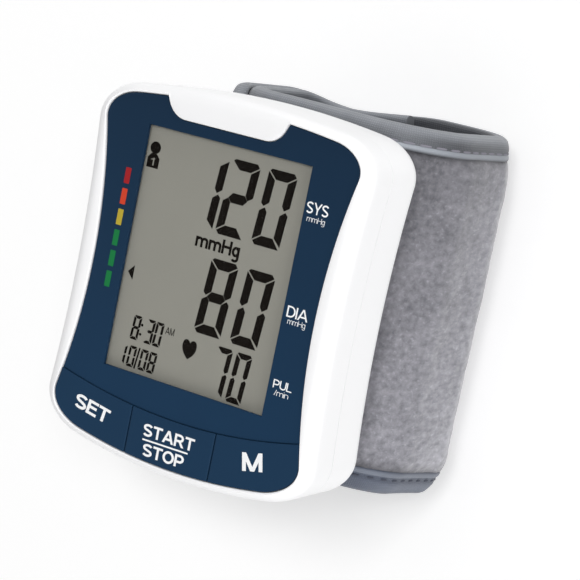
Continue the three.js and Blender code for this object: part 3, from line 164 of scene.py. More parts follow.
def moulded(name, colour, roughness, grain, depth, shade=0.04, **sockets):
    """Moulded plastic: a grain of the given width and depth in millimetres roughens the gloss, and a slow
    change of tone over about TONE_WIDTH lightens and darkens the colour by a share of itself."""
    plastic = bpy.data.materials.new(name)
    plastic.use_nodes = True
    tree = plastic.node_tree
    shader = tree.nodes["Principled BSDF"]
    shader.inputs["Roughness"].default_value = roughness
    for socket, value in sockets.items():
        shader.inputs[socket.replace("_", " ")].default_value = value
    where = add(tree, "ShaderNodeTexCoord").outputs["Object"]
    base = np.array(linear(colour))
    wide = {"Scale": 1 / (TONE_WIDTH * MM), "Detail": 2.0}
    slow = add(tree, "ShaderNodeTexNoise", wide, {"Vector": where})
    dark = (*(base[:3] * (1 - shade)).tolist(), 1.0)
    light = (*np.minimum(base[:3] * (1 + shade), 1).tolist(), 1.0)
    tone = add(tree, "ShaderNodeMix", {"data_type": "RGBA", 6: dark, 7: light}, {0: slow.outputs["Fac"]})
    tree.links.new(shader.inputs["Base Color"], tone.outputs[2])
    spark = add(tree, "ShaderNodeTexNoise", {"Scale": 1 / (grain * MM), "Detail": 3.0}, {"Vector": where})
    relief = {"Strength": 0.6, "Distance": depth * MM}
    bump = add(tree, "ShaderNodeBump", relief, {"Height": spark.outputs["Fac"]})
    tree.links.new(shader.inputs["Normal"], bump.outputs["Normal"])
    return plastic


# ABS straight from the mould: an even near-white with a soft gloss. The real spark texture is about
# 0.05 mm wide and doesn't show at this distance, so it is drawn at 0.35 mm.
WHITE_ABS = moulded("moulded_white_abs", "#F6F6F7", 0.36, 0.35, 0.004, 0.012, IOR=1.54)

FRONT_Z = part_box("front_shell")[1].z / MM
CASE_TOP, CASE_BOTTOM = 40.2, -40.2
WINDOW = np.array([0.0, 4.9])
WINDOW_HALF = np.array([20.0, 25.8])
TOP_BOW, BOTTOM_BOW = 1.6, 2.2
ROW_Y, ROW_RISE, ROW_HALF = -28.0, (3.7, 4.3), 30.9
KEY_GAP = 0.4
TAB_X, TAB_LOW, TAB_HIGH = -1.6, 33.3, 38.2
TAB_FOOT, TAB_SHOULDER = 9.7, 14.45
ROUND_HANDLE = 0.55  # handles of a quarter circle, as a share of its radius
BELLY = 0.75  # how far the middle of a cubic curve follows its two inner handles


def bezier(*handles, steps=60):
    """Points on a curve with these handles, by repeated mixing of neighbours at even shares; the last
    handle itself is left for the next curve."""
    share = np.linspace(0, 1, steps, endpoint=False)[:, None, None]
    points = np.repeat(np.array(handles, float)[None], steps, axis=0)
    while points.shape[1] > 1:
        points = points[:, :-1] * (1 - share) + points[:, 1:] * share
    return points[:, 0]


def waisted(width, waist, top, bottom, top_corner, bottom_corner):
    """Outline that is bowed at the top and bottom and drawn in at the waist, anticlockwise from the
    bottom middle. Five Bezier curves make its right half, which is mirrored."""
    half = width / 2
    pull = (width - waist) / 2 / BELLY
    low_end = np.array([half - bottom_corner, bottom + BOTTOM_BOW])
    side_low = np.array([half, bottom + BOTTOM_BOW + bottom_corner])
    side_high = np.array([half, top - TOP_BOW - top_corner])
    high_end = np.array([half - top_corner, top - TOP_BOW])
    third = np.array([0, (side_high[1] - side_low[1]) / 3])
    drawn = np.array([pull, 0])

    def handle(x, y, corner):
        """Handle that points along x and y, as long as a corner's quarter circle needs."""
        return np.array([x, y]) / np.hypot(x, y) * ROUND_HANDLE * corner

    right = np.concatenate([
        bezier([0, bottom], [low_end[0] / 2, bottom], low_end),
        bezier(
            low_end, low_end + handle(low_end[0] / 2, BOTTOM_BOW, bottom_corner),
            side_low + handle(pull, -third[1], bottom_corner), side_low,
        ),
        bezier(side_low, side_low + third - drawn, side_high - third - drawn, side_high),
        bezier(
            side_high, side_high + handle(pull, third[1], top_corner),
            high_end + handle(high_end[0] / 2, -TOP_BOW, top_corner), high_end,
        ),
        bezier(high_end, [high_end[0] / 2, top], [0, top]),
    ])
    left = right[:0:-1] * np.array([-1, 1])
    return np.concatenate([right, [[0, top]], left])


def inset(outline, distance):
    """Outline moved inwards, square to the line between each point's two neighbours."""
    along = np.roll(outline, -1, axis=0) - np.roll(outline, 1, axis=0)
    along /= np.linalg.norm(along, axis=1, keepdims=True)
    return outline + distance * np.stack([-along[:, 1], along[:, 0]], axis=1)


def reach(outline, centre, angles, closed=True):
    """Distance from a centre to an outline at each angle: the points' own distances, interpolated by
    angle. Past the ends of an open line it is without limit."""
    offset = outline - centre
    turn = np.arctan2(offset[:, 1], offset[:, 0])
    distance = np.hypot(offset[:, 0], offset[:, 1])
    if closed:
        return np.interp(angles, turn, distance, period=2 * np.pi)
    order = np.argsort(turn)
    return np.interp(angles, turn[order], distance[order], left=np.inf, right=np.inf)


def tab_edge(grow):
    """Lower edge of the tab from shoulder to shoulder: a straight foot with a curve up to each side, as
    far as it can be seen from the window's centre."""
    foot = np.array([TAB_FOOT, TAB_LOW - grow])
    shoulder = np.array([TAB_SHOULDER + grow, TAB_HIGH])
    out = foot + [ROUND_HANDLE * (shoulder[0] - foot[0]), 0]
    up = shoulder - [0, ROUND_HANDLE * (shoulder[1] - foot[1])]
    level = bezier([0, TAB_LOW - grow], foot)
    side = np.concatenate([level, bezier(foot, out, up, shoulder), [shoulder]])
    halves = []
    for way in (1, -1):
        half = side * np.array([way, 1]) + np.array([TAB_X, 0])
        lean = way * (half[:, 0] - WINDOW[0]) / (half[:, 1] - WINDOW[1])
        halves.append(half[:np.argmax(lean) + 1])
    return np.concatenate([halves[0][::-1], halves[1][1:]])


def row_edge(rise):
    """Upper edge of the key row: half a parabola on each side, which climbs by its own ROW_RISE."""
    x = np.linspace(-34, 34, 400)
    climb = np.where(x < 0, *ROW_RISE)
    return np.stack([x, ROW_Y + climb * (x / ROW_HALF) ** 2 + rise], axis=1)


def rings(centre, angles, levels):
    """Rings of points round a centre, one for each pair of distances and heights, which count from the
    case's front."""
    across = np.stack([np.cos(angles), np.sin(angles)], axis=1)
    made = []
    for distance, height in levels:
        flat = centre + across * np.reshape(distance, (-1, 1))
        made.append(np.column_stack([flat, np.broadcast_to(FRONT_Z + height, len(angles))]))
    return np.stack(made)


def loft(points, joined=False):
    """Faces of a closed skin through rings of points, m by n: four-sided faces between neighbours. The
    first and last ring are joined to each other, or each is closed by a face."""
    rows, count = points.shape[:2]
    ring = np.arange(rows if joined else rows - 1)[:, None] * count
    step = np.arange(count)[None]
    after = (step + 1) % count
    above = (ring + count) % (rows * count)
    around = [ring + step, ring + after, above + after, above + step]
    faces = np.stack(around, axis=-1).reshape(-1, 4).tolist()
    if not joined:
        faces += [list(range(count))[::-1], list(range((rows - 1) * count, rows * count))]
    return points.reshape(-1, 3), faces


def together(*parts):
    """Several points-and-faces pairs as one."""
    starts = np.cumsum([0] + [len(points) for points, _ in parts])
    faces = [[int(start) + i for i in face] for start, (_, some) in zip(starts, parts) for face in some]
    return np.concatenate([points for points, _ in parts]), faces


def outwards(points, faces):
    """Faces turned so that the volume they enclose, the sum of their triangles' triple products, is
    positive."""
    fans = np.array([
        (face[0], face[i], face[i + 1]) for face in faces for i in range(1, len(face) - 1)
    ])
    a, b, c = (points[fans[:, i]] for i in range(3))
    return faces if (a * np.cross(b, c)).sum() > 0 else [face[::-1] for face in faces]


def piece(name, shape, material, body, sharp=35, closed=True):
    """A shown piece from points in millimetres and faces, riding on a body. Edges sharper than the given
    angle stay crisp."""
    points, faces = shape
    mesh = bpy.data.meshes.new(name)
    mesh.from_pydata((points * MM).tolist(), [], outwards(points, faces) if closed else faces)
    mesh.shade_smooth()
    mesh.set_sharp_from_angle(angle=np.radians(sharp))
    mesh.materials.append(material)
    made = bpy.data.objects.new(name, mesh)
    scene.collection.objects.link(made)
    if body:
        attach(made, body)
    return made


PANEL_Z, PANEL_UNDER, PLATE_TOP, PLATE_UNDER = -0.5, -1.3, -1.4, -3.2
POCKET_TOP, POCKET_UNDER = -3.1, -4.3
PART_Z = -9.0
RIM_ROUND, RIM_LOW, RIM_WIDTH, EDGE_SOFT, WALL = 3.0, -6.0, 2, 0.35, 1.8
HAIR = 0.02  # a bevel that only catches the light
PLATE_OPEN, PLATE_STEP, POCKET_WALL, POCKET_SLOPE = 2.5, 2.6, 1.2, 0.05
corner_turns = [np.arctan2(y * WINDOW_HALF[1], x * WINDOW_HALF[0]) for x in (-1, 1) for y in (-1, 1)]
PANEL_FIT = 0.15
SLIVER = 1e-4  # a turn just beside another, so that the tab's ends stay sharp
tab_ends = np.concatenate([tab_edge(grow)[[0, -1]] for grow in (0, PANEL_FIT)]) - WINDOW
tab_turns = np.arctan2(tab_ends[:, 1], tab_ends[:, 0])
turns = np.unique(np.concatenate([
    np.linspace(-np.pi, np.pi, 1440, endpoint=False), corner_turns,
    tab_turns - SLIVER, tab_turns + SLIVER,
]))
case_outline = waisted(
    width=67.4, waist=65.0, top=CASE_TOP, bottom=CASE_BOTTOM, top_corner=9.0, bottom_corner=10.0,
)
recess_outline = waisted(
    width=61.8, waist=55.4, top=CASE_TOP - RIM_WIDTH, bottom=CASE_BOTTOM + RIM_WIDTH,
    top_corner=6.5, bottom_corner=8.0,
)


def round_window(outline, closed=True):
    """Distances from the window's centre to an outline, at every turn."""
    return reach(outline, WINDOW, turns, closed)


def window_edge(border):
    """Distances from the window's centre to the window, enlarged by a border."""
    half = WINDOW_HALF + border
    with np.errstate(divide="ignore"):
        return np.minimum(half[0] / np.abs(np.cos(turns)), half[1] / np.abs(np.sin(turns)))


recess = np.minimum(round_window(recess_outline), round_window(tab_edge(0), closed=False))
row = round_window(row_edge(KEY_GAP / 2), closed=False)
over_keys = row < recess
pocket = np.where(over_keys, row, recess - POCKET_SLOPE)
pocket_floor = np.where(over_keys, POCKET_TOP, PLATE_TOP)
pocket_back = np.where(over_keys, POCKET_UNDER, PLATE_UNDER)
inner_wall = round_window(inset(case_outline, WALL))
quarter = np.radians(np.linspace(0, 90, 13))
rim = [
    (
        np.maximum(round_window(inset(case_outline, RIM_ROUND * (1 - np.cos(a)))), recess + EDGE_SOFT),
        RIM_ROUND * (np.sin(a) - 1),
    )
    for a in quarter
]
soft_turns = np.radians([0, 30, 60, 90])
inner_edge = [(recess + EDGE_SOFT * (1 - np.sin(a)), EDGE_SOFT * (np.cos(a) - 1)) for a in soft_turns]
front_levels = [
    (round_window(inset(case_outline, HAIR)), PART_Z),
    (round_window(case_outline), PART_Z + HAIR),
    (round_window(case_outline), RIM_LOW),
    *rim,
    *inner_edge,
    (recess, pocket_floor),
    (pocket, pocket_floor),
    (pocket - HAIR, PLATE_TOP),
    (window_edge(PLATE_OPEN), PLATE_TOP),
    (window_edge(PLATE_OPEN), PLATE_UNDER),
    (np.maximum(pocket - POCKET_WALL, window_edge(PLATE_STEP)), PLATE_UNDER),
    (np.maximum(pocket - POCKET_WALL - POCKET_SLOPE, window_edge(PLATE_STEP)), pocket_back),
    (inner_wall, pocket_back),
    (inner_wall, PART_Z),
]
front_shape = loft(rings(WINDOW, turns, front_levels), joined=True)
front_shell = piece("case_front", front_shape, WHITE_ABS, "monitor")
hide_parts("front_shell")


# Rear shell and battery door: the white back half, moulded to match, with a doorway in its left wall that
# the door fills. Four screws go in from the back, each sunk in its own round hole.
REAR_TOP, REAR_ROUND, CASE_BACK = -9.08, 4.0, -22.2
DOORWAY = (-20.25, 27.25)
DOORWAY_LOW = -20.4
DOOR_FIT = 0.3
SCREW_PLACES = [(x, y) for y in (31.7, -24.2) for x in (-26.8, 26.8)]
SINK_RADIUS = 1.9
LEFT_X, LEFT_Y = -25, 29  # the left wall lies left of the one and within the other


def with_heights(outline, heights):
    """Outline with extra points on its left side, where it passes the given heights."""
    index = np.arange(len(outline))
    left = np.flatnonzero((outline[:, 0] < LEFT_X) & (np.abs(outline[:, 1]) < LEFT_Y))
    at = np.interp(heights, outline[left[::-1], 1], left[::-1].astype(float))
    places = np.sort(np.concatenate([index, at]))
    return np.stack([np.interp(places, index, outline[:, k]) for k in (0, 1)], axis=1)


door_sides = (DOORWAY[0] + DOOR_FIT, DOORWAY[1] - DOOR_FIT)
wall_outline = with_heights(case_outline, [*DOORWAY, *door_sides])
shoulder_z = CASE_BACK + REAR_ROUND
exact = [np.arcsin((shoulder_z - DOORWAY_LOW - fit) / REAR_ROUND) for fit in (0, DOOR_FIT)]
back_turns = np.sort(np.concatenate([np.radians(np.linspace(0, 90, 13)), exact]))
wall_levels = [(HAIR, REAR_TOP), (0, REAR_TOP - HAIR), (0, -12.0), (0, -15.0)]
wall_levels += [(REAR_ROUND * (1 - np.cos(a)), shoulder_z - REAR_ROUND * np.sin(a)) for a in back_turns]
wall_points = np.stack([
    np.column_stack([inset(wall_outline, distance), np.full(len(wall_outline), FRONT_Z + z)])
    for distance, z in wall_levels
])
wall_z = np.array([z for _, z in wall_levels])


def wall_faces(sides, low, inside):
    """Faces of the wall that lie in, or out of, a stretch of its left side above a height."""
    count = len(wall_outline)
    after = np.roll(np.arange(count), -1)
    y = wall_outline[:, 1]
    between = (y > sides[0] - 1e-6) & (y < sides[1] + 1e-6) & (wall_outline[:, 0] < LEFT_X)
    column = between & between[after]
    level = (wall_z[1:] > low - 1e-6)[:, None]
    kept = (level & column) if inside else ~(level & column)
    ring = np.arange(len(wall_levels) - 1)[:, None] * count
    step = np.arange(count)[None]
    faces = np.stack([ring + step, ring + count + step, ring + count + after, ring + after], axis=-1)
    return faces[kept].tolist()


def disc(centre, radius, count=32):
    """Points round a circle."""
    turn = np.linspace(0, 2 * np.pi, count, endpoint=False)
    return np.array(centre) + radius * np.stack([np.cos(turn), np.sin(turn)], axis=1)


last = (len(wall_levels) - 1) * len(wall_outline)
back_edge = wall_points[-1]
sink_z = np.full(32, FRONT_Z + CASE_BACK)
sinks = [np.column_stack([disc(place, SINK_RADIUS), sink_z]) for place in SCREW_PLACES]
back_face = geometry.tessellate_polygon([back_edge.tolist(), *[sink.tolist() for sink in sinks]])
rear_points = np.concatenate([wall_points.reshape(-1, 3), *sinks])
facing = np.array([[last + i for i in triangle] for triangle in back_face])
first, second, third_point = (rear_points[facing[:, i]] for i in range(3))
upward = np.cross(second - first, third_point - first)[:, 2] > 0
facing[upward] = facing[upward][:, ::-1]
rear_faces = wall_faces(DOORWAY, DOORWAY_LOW, inside=False) + facing.tolist()
rear_shell = piece("case_back", (rear_points, rear_faces), WHITE_ABS, "monitor", closed=False)
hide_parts("rear_shell")


def thickened(made, thickness):
    """Gives an open skin its wall, inwards."""
    wall = made.modifiers.new("wall", "SOLIDIFY")
    wall.thickness = thickness * MM
    wall.offset = -1
    wall.use_even_offset = True


thickened(rear_shell, WALL)


def pebble(centre, half, squareness=0.45, rows=9, count=16):
    """A rounded block: an ellipsoid whose sines and cosines are raised to a power below 1."""
    def blunt(value):
        """Size of a value raised to the power, with the value's sign."""
        return np.sign(value) * np.abs(value) ** squareness

    tilt = np.linspace(-np.pi / 2, np.pi / 2, rows + 2)[1:-1, None]
    turn = np.linspace(0, 2 * np.pi, count, endpoint=False)[None]
    parts = [blunt(np.cos(tilt)) * blunt(np.cos(turn)), blunt(np.cos(tilt)) * blunt(np.sin(turn))]
    points = np.stack([*parts, np.broadcast_to(blunt(np.sin(tilt)), (rows, count))], axis=-1)
    return loft(np.array(centre) + points * np.array(half))


GRIP_PLACE, GRIP_HALF = np.array([-32.5, 3.5, FRONT_Z - 14.85]), (0.55, 0.5, 2.6)
door_faces = wall_faces(door_sides, DOORWAY_LOW + DOOR_FIT, inside=True)
door_shape = (wall_points.reshape(-1, 3), door_faces)
door_skin = piece("battery_cover", door_shape, WHITE_ABS, "door", closed=False)
thickened(door_skin, WALL)
grips = [pebble(GRIP_PLACE + [0, y, 0], GRIP_HALF) for y in (-3, 0, 3)]
door_grips = piece("battery_cover_grips", together(*grips), WHITE_ABS, "door")
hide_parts("battery_door")


def dress(material, *names):
    """Puts a material on CAD nodes that keep their shape."""
    for node_name in names:
        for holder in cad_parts[node_name].material_slots:
            holder.material = material


# Zinc-plated steel: a bright grey metal with a fine brushed grain from the wire and the press.
BRIGHT_STEEL = moulded("zinc_plated_steel", "#B9BCC0", 0.3, 0.3, 0.003, 0.05, Metallic=1.0)
dress(BRIGHT_STEEL, *[f"case_screw_{i}" for i in (1, 2, 3, 4)])


# Front panel: a thin navy sheet glued into the recess, cut round the tab at the top and along the curve
# of the key row at the bottom, with a clear window for the display.
def graded(tree, colour, value, stretch, tones):
    """A colour times a factor that goes evenly from one tone to the other over a stretch of a value."""
    factor = add(tree, "ShaderNodeMapRange", {
        "From Min": stretch[0], "From Max": stretch[1], "To Min": tones[0], "To Max": tones[1],
    }, {"Value": value})
    made = add(
        tree, "ShaderNodeMix", {"data_type": "RGBA", "blend_type": "MULTIPLY", 0: 1.0},
        {6: colour, 7: factor.outputs[0]},
    )
    return made.outputs[2]


# Printed polycarbonate: a satin navy, with painted shade that lightens it towards the keys and darkens
# it up to the tab.
NAVY = moulded("satin_navy_polycarbonate", "#0F2A42", 0.5, 0.3, 0.003, 0.05, Specular_IOR_Level=0.12)
# Painted shade over the panel's height: its colour is lighter towards the keys and darker towards the
# tab.
PANEL_SHADE_STRETCH, PANEL_SHADE_TONES = (-24 * MM, 36 * MM), (1.28, 0.84)
tree = NAVY.node_tree
navy_base_socket = tree.nodes["Principled BSDF"].inputs["Base Color"]
navy_where = tree.nodes["Texture Coordinate"].outputs["Object"]
navy_height = add(tree, "ShaderNodeSeparateXYZ", {}, {0: navy_where}).outputs["Y"]
even_tone = navy_base_socket.links[0].from_socket
tree.links.new(navy_base_socket, graded(tree, even_tone, navy_height, PANEL_SHADE_STRETCH, PANEL_SHADE_TONES))
PANEL_SOFT = 0.18


def softened(edge, z, radius):
    """Levels of a rounded top edge: a quarter circle of a radius, from upright to level."""
    return [(edge - radius * (1 - np.cos(a)), z - radius * (1 - np.sin(a))) for a in soft_turns]


round_tab = round_window(tab_edge(PANEL_FIT), closed=False)
panel_edge = np.minimum.reduce([round_window(inset(recess_outline, PANEL_FIT)), round_tab, row])
panel_levels = [
    (panel_edge, PANEL_UNDER),
    *softened(panel_edge, PANEL_Z, PANEL_SOFT),
    (panel_edge - 0.3, PANEL_Z),
    (window_edge(0.2), PANEL_Z),
    (window_edge(0.1), PANEL_Z),
    (window_edge(0.03), PANEL_Z - 0.03),
    (window_edge(0), PANEL_Z - 0.1),
    (window_edge(0), PANEL_UNDER),
]
panel = piece("navy_panel", loft(rings(WINDOW, turns, panel_levels), joined=True), NAVY, "monitor")
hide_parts("front_panel")


# Printing on the panel: white names and units beside the display, and a scale of six coloured bars on its
# left, all in screen-printed ink that stands a few hundredths above the sheet.
def ink(name, colour, roughness=0.5, gloss=0.2):
    """Screen-printed ink: an even colour with the slight mottle of the mesh, 0.25 mm wide."""
    return moulded(name, colour, roughness, 0.25, 0.002, 0.05, Specular_IOR_Level=gloss)


# Screen-printing ink: a dense, even white with little gloss.
INK_WHITE = ink("white_screen_ink", "#F3F4F5")
PRINT = 0.03
LOW_CASE = 0.73  # height of a small letter as a share of a capital
LETTER_GAP = 0.05
STEEP = 0.3  # climb, as a share of its length, from which a stroke counts as steep


def arch(x, y, across, up, start, end, count=20):
    """Points on an ellipse between two angles in degrees."""
    turn = np.radians(np.linspace(start, end, count))
    return np.stack([x + across * np.cos(turn), y + up * np.sin(turn)], axis=1)


def letters(a):
    """Widths of plain sans letters and the centre lines of their strokes, for a capital 1 high and
    strokes 2 a wide."""
    def bowl(right, low, straight):
        """Half an ellipse to the right, between level lines at the cap's height and at a low one."""
        middle, tall = (low + 1 - a) / 2, (1 - a - low) / 2
        curve = arch(straight, middle, right - straight, tall, 90, -90)
        return np.concatenate([[(0, 1 - a)], curve, [(0, low)]])

    def oval(x, y):
        """An ellipse about a centre that touches both axes, as two arcs that overlap."""
        return [arch(x, y, x - a, y - a, start, start + 200) for start in (-10, 170)]

    def hump(left, right):
        """Half an ellipse over two stems, and the right one of them."""
        over = arch((left + right) / 2, LOW_CASE - 0.27, (right - left) / 2, 0.27 - a, 180, 0)
        return np.concatenate([over, [(right, 0)]])

    s_curve = np.concatenate([
        arch(0.31 + a, 0.81 - a, 0.31, 0.19, 25, 240), arch(0.31 + a, 0.19 + a, 0.31, 0.19, 60, -155),
    ])
    u_curve = np.concatenate([[(a, 1)], arch(0.4, 0.36, 0.4 - a, 0.36 - a, 180, 360), [(0.8 - a, 1)]])
    g_tail = np.concatenate([[(0.62 - a, LOW_CASE)], arch(0.31, -0.1, 0.31 - a, 0.19, 0, -150)])
    stem = [(a, 0), (a, 1)]
    return {
        "S": (0.62 + 2 * a, [s_curve]),
        "E": (0.72, [stem, [(0, 1 - a), (0.71, 1 - a)], [(0, 0.53), (0.66, 0.53)], [(0, a), (0.72, a)]]),
        "T": (0.8, [[(0, 1 - a), (0.8, 1 - a)], [(0.4, 0), (0.4, 1)]]),
        "A": (0.98, [
            [(1.1 * a, 0), (0.49, 1)], [(0.98 - 1.1 * a, 0), (0.49, 1)], [(0.24, 0.3), (0.74, 0.3)],
        ]),
        "R": (0.86, [stem, bowl(0.78 - a, 0.46, 0.42), [(0.44, 0.46), (0.86 - 1.2 * a, 0)]]),
        "O": (0.94, oval(0.47, 0.5)),
        "P": (0.76, [stem, bowl(0.76 - a, 0.42, 0.4)]),
        "M": (0.94, [
            stem, [(0.94 - a, 0), (0.94 - a, 1)], [(a, 1), (0.47, 0)], [(0.94 - a, 1), (0.47, 0)],
        ]),
        "Y": (0.9, [
            [(1.1 * a, 1), (0.45, 0.4)], [(0.9 - 1.1 * a, 1), (0.45, 0.4)], [(0.45, 0), (0.45, 0.45)],
        ]),
        "D": (0.8, [stem, bowl(0.8 - a, a, 0.34)]),
        "I": (2 * a, [stem]),
        "U": (0.8, [u_curve]),
        "L": (0.68, [stem, [(0, a), (0.68, a)]]),
        "H": (0.8, [stem, [(0.8 - a, 0), (0.8 - a, 1)], [(0, 0.52), (0.8, 0.52)]]),
        "m": (1.04, [[(a, 0), (a, LOW_CASE)], hump(a, 0.52), hump(0.52, 1.04 - a)]),
        "n": (0.62, [[(a, 0), (a, LOW_CASE)], hump(a, 0.62 - a)]),
        "g": (0.62, [*oval(0.31, LOW_CASE / 2), g_tail]),
        "i": (2 * a, [[(a, 0), (a, LOW_CASE)], [(a, 1 - 2 * a), (a, 1)]]),
        "/": (0.36, [[(0.04, 0), (0.32, 1)]]),
        "1": (0.42, [[(0.42 - a, 0), (0.42 - a, 1)], [(0, 0.74), (0.42 - a, 0.88)]]),
    }


def sides(line, half):
    """Both sides of a stroke. A steep straight stroke is moved level, so that its ends are cut level, and
    any other is moved square to itself, with mitred bends."""
    line = np.array(line, float)
    step = np.diff(line, axis=0)
    step /= np.linalg.norm(step, axis=1, keepdims=True)
    if len(line) == 2 and abs(step[0, 1]) > STEEP:
        shift = np.array([half / abs(step[0, 1]), 0])
    else:
        square = np.stack([-step[:, 1], step[:, 0]], axis=1)
        before, after = np.vstack([square[:1], square]), np.vstack([square, square[-1:]])
        shift = half * (before + after) / (1 + (before * after).sum(axis=1, keepdims=True))
    return line + shift, line - shift


def lettering(words, middle, base, cap, width, weight, turn=0.0):
    """Outlines of words, one for each stroke. The line of words is fitted to a cap height and a width,
    and turned about the middle of its base line."""
    shapes = letters(weight / 2)
    pen, strokes = 0.0, []
    for letter in words:
        advance, lines = shapes[letter]
        for line in lines:
            left, right = sides(line, weight / 2)
            strokes.append(np.concatenate([left, right[::-1]]) + [pen, 0])
        pen += advance + LETTER_GAP
    c, s = np.cos(np.radians(turn)), np.sin(np.radians(turn))
    fit = np.array([width / (pen - LETTER_GAP), cap])
    spin = np.array([[c, s], [-s, c]])
    return [(stroke * fit - [width / 2, 0]) @ spin + [middle, base] for stroke in strokes]


def printed(outlines, z):
    """A thin print on all the ground that some outlines cover: their overlay is cut into triangles,
    raised by PRINT, and walled along the edges that only one triangle has."""
    starts = np.cumsum([0] + [len(outline) for outline in outlines])
    around = [list(range(a, b)) for a, b in zip(starts.tolist(), starts.tolist()[1:])]
    for outline, loop in zip(outlines, around):
        x, y = np.array(outline).T
        if (x * np.roll(y, -1) - y * np.roll(x, -1)).sum() < 0:
            loop.reverse()
    spots = [Vector(spot) for spot in np.concatenate(outlines).tolist()]
    cut = geometry.delaunay_2d_cdt(spots, [], around, 1, 1e-6)
    covered = [bool(sources) for sources in cut[5]]
    flat, cells = np.array([tuple(spot) for spot in cut[0]]), np.array(cut[2])[covered]
    edges = np.concatenate([cells[:, [0, 1]], cells[:, [1, 2]], cells[:, [2, 0]]])
    _, first, count = np.unique(np.sort(edges, axis=1), axis=0, return_index=True, return_counts=True)
    rim = edges[first[count == 1]]
    low = np.column_stack([flat, np.full(len(flat), FRONT_Z + z)])
    walls = np.column_stack([rim, rim[:, ::-1] + len(flat)])
    faces = (cells + len(flat)).tolist() + cells[:, ::-1].tolist() + walls.tolist()
    return np.concatenate([low, low + [0, 0, PRINT]]), faces


# Words, with the middle and the height of their base line, a cap height, a width and a stroke weight.
names = [
    *lettering("SYS", 23.1, 21.55, 2.35, 5.1, 0.145),
    *lettering("mmHg", 23.2, 19.95, 1.15, 4.2, 0.085),
    *lettering("DIA", 23.45, 0.3, 2.3, 5.0, 0.135),
    *lettering("mmHg", 23.6, -1.05, 1.15, 4.2, 0.085),
    *lettering("PUL", 23.43, -14.37, 1.75, 4.5, 0.135),
    *lettering("/min", 23.48, -15.82, 1.15, 3.4, 0.085),
]
piece("panel_lettering", printed(names, PANEL_Z), INK_WHITE, "monitor", sharp=30)

BAR_HALF, BAR_PITCH, BAR_TOP, BAR_X = (0.68, 1.7), 4.44, 20.78, -22.92
BAR_THICK, BAR_BLUNT = 0.07, 0.12
BAR_COLOURS = [
    ("red_bar", "#991A20"), ("orange_bar", "#C63F26"), ("yellow_bar", "#B39F34"),
    ("green_bar_1", "#0C6F39"), ("green_bar_2", "#0C6F39"), ("green_bar_3", "#0C6F39"),
]
for i, (bar_name, colour) in enumerate(BAR_COLOURS):
    middle = (BAR_X, BAR_TOP - BAR_HALF[1] - i * BAR_PITCH, FRONT_Z + PANEL_Z)
    bar = pebble(middle, (*BAR_HALF, BAR_THICK), BAR_BLUNT)
    piece(bar_name, bar, ink(f"{bar_name}_ink", colour), "monitor")


# Display: a clear lens in the window, and under it the grey glass of the liquid crystal with its dark
# segments. The frame and the two rubber strips under the glass don't show.
# Cast acrylic, seen square on: almost nothing but a faint gloss.
CLEAR = moulded("clear_acrylic", "#8E8E86", 0.06, 2.0, 0.0005, 0.01, Alpha=0.008, IOR=1.49)
dress(CLEAR, "display_lens")
# Polariser film over glass: a warm grey with a fine even grain, 0.3 mm wide so that it shows.
LCD_GREY = moulded("liquid_crystal_glass", "#8E8D85", 0.6, 0.3, 0.004, 0.03, Specular_IOR_Level=0.1)
dress(LCD_GREY, "lcd_glass")
# Switched-on liquid crystal: a warm near-black without gloss, and the pale ground inside a sign.
SEGMENT = ink("dark_segment", "#0D0907", 0.7, 0.02)
LCD_PALE = ink("pale_segment", "#8B8A82", 0.6, 0.05)
LCD_Z = -2.0
SLANT = 0.07
ALL = "abcdefg"
LIT = {"0": "abcdef", "1": "bc", "2": "abged", "3": "abgcd", "7": "abc", "8": ALL}


def digit(figure, x, y, width, height, stroke, gap):
    """Lit segments of a figure, each an outline with mitred ends, leaning by SLANT of its height. The
    outer corners are cut by a share of the stroke, and level strokes are a tenth thicker."""
    w, h, t, g, m = width, height, stroke, gap, height / 2
    k, c = 1.1 * stroke, 0.22 * stroke
    shapes = {
        "a": [
            (g, h - c), (g + c, h), (w - 2.2 * c, h), (w - g, h - 1.8 * c),
            (w - t - g, h - k), (t + g, h - k),
        ],
        "d": [(g, 1.8 * c), (2.2 * c, 0), (w - g, 0), (w - t - g, k), (t + g, k)],
        "f": [(0, h - g - c), (0, m + 0.4 * t), (0.38 * t, m + g / 2), (t, m + 0.56 * t), (t, h - k - g)],
        "e": [(0, g + 1.8 * c), (t, k + g), (t, m - 0.56 * t), (0.62 * t, m - g / 2), (0, m - 0.5 * t)],
        "b": [
            (w, h - g - 1.8 * c), (w - t, h - k - g), (w - t, m + 0.56 * t),
            (w - 0.62 * t, m + g / 2), (w, m + 0.5 * t),
        ],
        "c": [
            (w, g + c), (w, m - 0.4 * t), (w - 0.38 * t, m - g / 2), (w - t, m - 0.56 * t),
            (w - t, k + g),
        ],
        "g": [
            (t / 2 + g, m), (t + g / 2, m - k / 2), (w - t - g / 2, m - k / 2),
            (w - t / 2 - g, m), (w - t - g / 2, m + k / 2), (t + g / 2, m + k / 2),
        ],
    }
    flat = [np.array(shapes[segment]) for segment in LIT[figure]]
    return [one @ np.array([[1, 0], [SLANT, 1]]) + [x, y] for one in flat]


def figures(words, places, y, width, height, stroke, gap):
    """Figures of one size, side by side."""
    lit = [digit(one, x, y, width, height, stroke, gap) for one, x in zip(words, places)]
    return [part for one in lit for part in one]


heart_half = np.concatenate([
    bezier((0, 1.2), (0.25, 2.3), (1.85, 2.35), (1.75, 0.5), steps=20),
    bezier((1.75, 0.5), (1.65, -0.75), (0.75, -1.5), (0, -2.1), steps=20),
])
heart_mirrored = (heart_half * np.array([-1, 1]))[:0:-1]
heart = np.concatenate([heart_half, [[0, -2.1]], heart_mirrored]) + np.array([-0.8, -12.65])
person_body = np.array([
    (-19.83, 21.8), (-16.88, 21.8), (-16.88, 23.9), (-17.68, 24.8), (-19.08, 24.8), (-19.83, 23.9),
])
